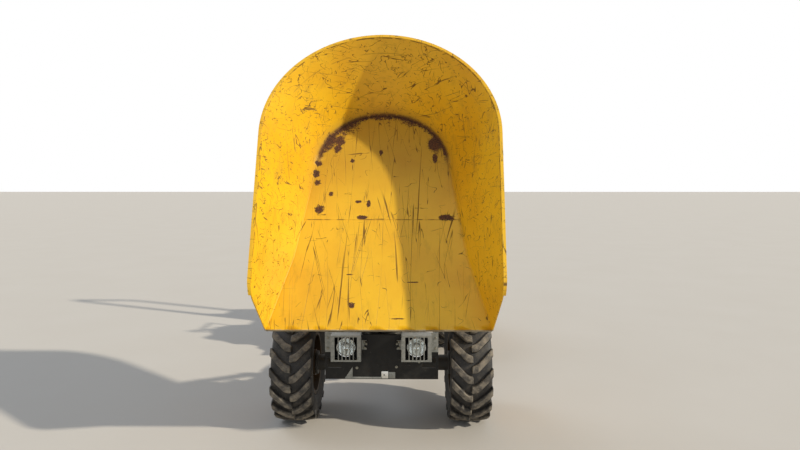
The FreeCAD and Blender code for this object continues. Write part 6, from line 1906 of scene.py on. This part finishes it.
@dataclass
class Studio:
    """The plain floor, soft lights and the camera."""

    focal_px: float = 575.0
    image_px: float = 800.0
    sensor_mm: float = 36.0
    yaw: float = math.radians(0.5)
    pitch: float = math.radians(3.888)
    eye_height: float = 1.581
    eye_ahead: float = 3.855
    eye_left: float = 0.148

    def build(self) -> None:
        """Set the floor, the world, the lamps and the camera."""
        self.floor()
        self.world()
        self.lamps()
        self.camera()

    def floor(self) -> None:
        """Lay a plain pale floor."""
        reach = 150.0
        mesh = bpy.data.meshes.new("studio_floor")
        mesh.from_pydata([(-reach, -reach, 0), (reach, -reach, 0), (reach, reach, 0), (-reach, reach, 0)], [],
                         [(0, 1, 2, 3)])
        ground = bpy.data.objects.new("studio_floor", mesh)
        bpy.context.scene.collection.objects.link(ground)
        shader = Shader("studio_floor_painted")
        tone = shader.noise(shader.place(), 900.0, 3.0)
        mesh.materials.append(shader.finish({
            "Base Color": shader.mix(tone, "bfb9af", "c4bfb6"), "Roughness": 0.9}))

    def world(self) -> None:
        """Light evenly from all round, and show white to the camera, to gloss and through glass."""
        world = bpy.data.worlds.new("studio")
        bpy.context.scene.world = world
        world.use_nodes = True
        nodes, links = world.node_tree.nodes, world.node_tree.links
        nodes.clear()
        path = nodes.new("ShaderNodeLightPath")
        seen = path.outputs["Is Camera Ray"]
        for name in ("Is Glossy Ray", "Is Transmission Ray"):
            either = nodes.new("ShaderNodeMath")
            either.operation = "MAXIMUM"
            links.new(seen, either.inputs[0])
            links.new(path.outputs[name], either.inputs[1])
            seen = either.outputs[0]
        fill, white = nodes.new("ShaderNodeBackground"), nodes.new("ShaderNodeBackground")
        fill.inputs["Color"].default_value = linear("dfe8f5")
        fill.inputs["Strength"].default_value = 0.55
        white.inputs["Color"].default_value = (1, 1, 1, 1)
        mix, out = nodes.new("ShaderNodeMixShader"), nodes.new("ShaderNodeOutputWorld")
        links.new(seen, mix.inputs[0])
        links.new(fill.outputs[0], mix.inputs[1])
        links.new(white.outputs[0], mix.inputs[2])
        links.new(mix.outputs[0], out.inputs[0])

    def lamps(self) -> None:
        """Light from the front right of the view through a far, slightly soft key, and weakly from behind."""
        for name, azimuth, elevation, strength, spread, tint in (
                ("key", 22.0, 31.0, 3.4, 1.8, "fff6e6"), ("back", 205.0, 48.0, 0.5, 25.0, "eaf1ff")):
            data = bpy.data.lights.new(f"studio_{name}", "SUN")
            data.energy, data.angle = strength, math.radians(spread)
            data.color = linear(tint)[:3]
            lamp = bpy.data.objects.new(f"studio_{name}", data)
            bpy.context.scene.collection.objects.link(lamp)
            # Azimuth runs from the machine's left towards its front
            turn, rise = math.radians(azimuth), math.radians(elevation)
            level = math.cos(rise)
            source = Vector((math.cos(turn) * level, -math.sin(turn) * level, math.sin(rise)))
            lamp.location = source * 6.0
            lamp.rotation_euler = source.to_track_quat("Z", "Y").to_euler()

    def camera(self) -> None:
        """Set the camera in front of the machine at a standing person's eye height."""
        data = bpy.data.cameras.new("studio_camera")
        data.sensor_width = self.sensor_mm
        data.lens = self.focal_px / self.image_px * self.sensor_mm
        camera = bpy.data.objects.new("studio_camera", data)
        bpy.context.scene.collection.objects.link(camera)
        axle = middle("front_axle")
        camera.location = (self.eye_left, axle.y - self.eye_ahead, self.eye_height)
        level = math.cos(self.pitch)
        ahead = Vector((-math.sin(self.yaw) * level, math.cos(self.yaw) * level, -math.sin(self.pitch)))
        camera.rotation_euler = ahead.to_track_quat("-Z", "Y").to_euler()
        bpy.context.scene.camera = camera


# Where the skip's enamel is knocked through: x, s, n, half width and half length, in the skip's frame
RUST_SPOTS = (
    (-0.36, 1.38, 0.0, 0.055, 0.050), (-0.30, 1.37, 0.0, 0.045, 0.055), (-0.31, 1.30, 0.0, 0.030, 0.045),
    (0.35, 1.34, 0.0, 0.060, 0.075), (0.35, 1.22, 0.0, 0.022, 0.050), (-0.435, 1.175, 0.0, 0.034, 0.028),
    (-0.44, 1.09, 0.0, 0.028, 0.034), (-0.425, 1.02, 0.0, 0.024, 0.026), (-0.33, 0.93, 0.0, 0.018, 0.024),
    (-0.40, 0.81, 0.0, 0.038, 0.042), (-0.15, 0.87, 0.0, 0.030, 0.014), (-0.085, 0.85, 0.0, 0.016, 0.036),
    (-0.125, 0.75, 0.0, 0.040, 0.020), (0.41, 0.75, 0.0, 0.058, 0.030), (-0.16, 0.155, 0.0, 0.022, 0.022),
    (-0.015, 1.27, 0.0, 0.016, 0.030), (-0.205, 1.20, 0.0, 0.018, 0.020), (0.19, 0.30, 0.0, 0.050, 0.005),
    (0.105, 0.07, 0.0, 0.045, 0.005), (-0.18, 0.35, 0.0, 0.030, 0.005),
)


def main() -> None:
    """Build every assembly in order and report it."""
    logging.basicConfig(level=logging.INFO, format="%(name)s %(message)s")
    bpy.context.scene.view_settings.view_transform = "Standard"
    finishes = Finishes()
    dresser = Dresser()
    assemblies = [Studio(), Skip(finishes)]
    for side in Side:
        assemblies.append(FrontLamp(finishes, side))
        for end in ("front", "rear"):
            assemblies += [LuggedTyre(finishes, end, side), DiscWheel(finishes, dresser, end, side)]
    assemblies += [FrontChassis(finishes, dresser), TippingGear(finishes, dresser),
                   RearChassis(finishes, dresser), Station(finishes, dresser), EngineHood(finishes, dresser)]
    for assembly in assemblies:
        assembly.build()
        LOG.info("built %s", type(assembly).__name__)


if __name__ == "__main__":
    main()
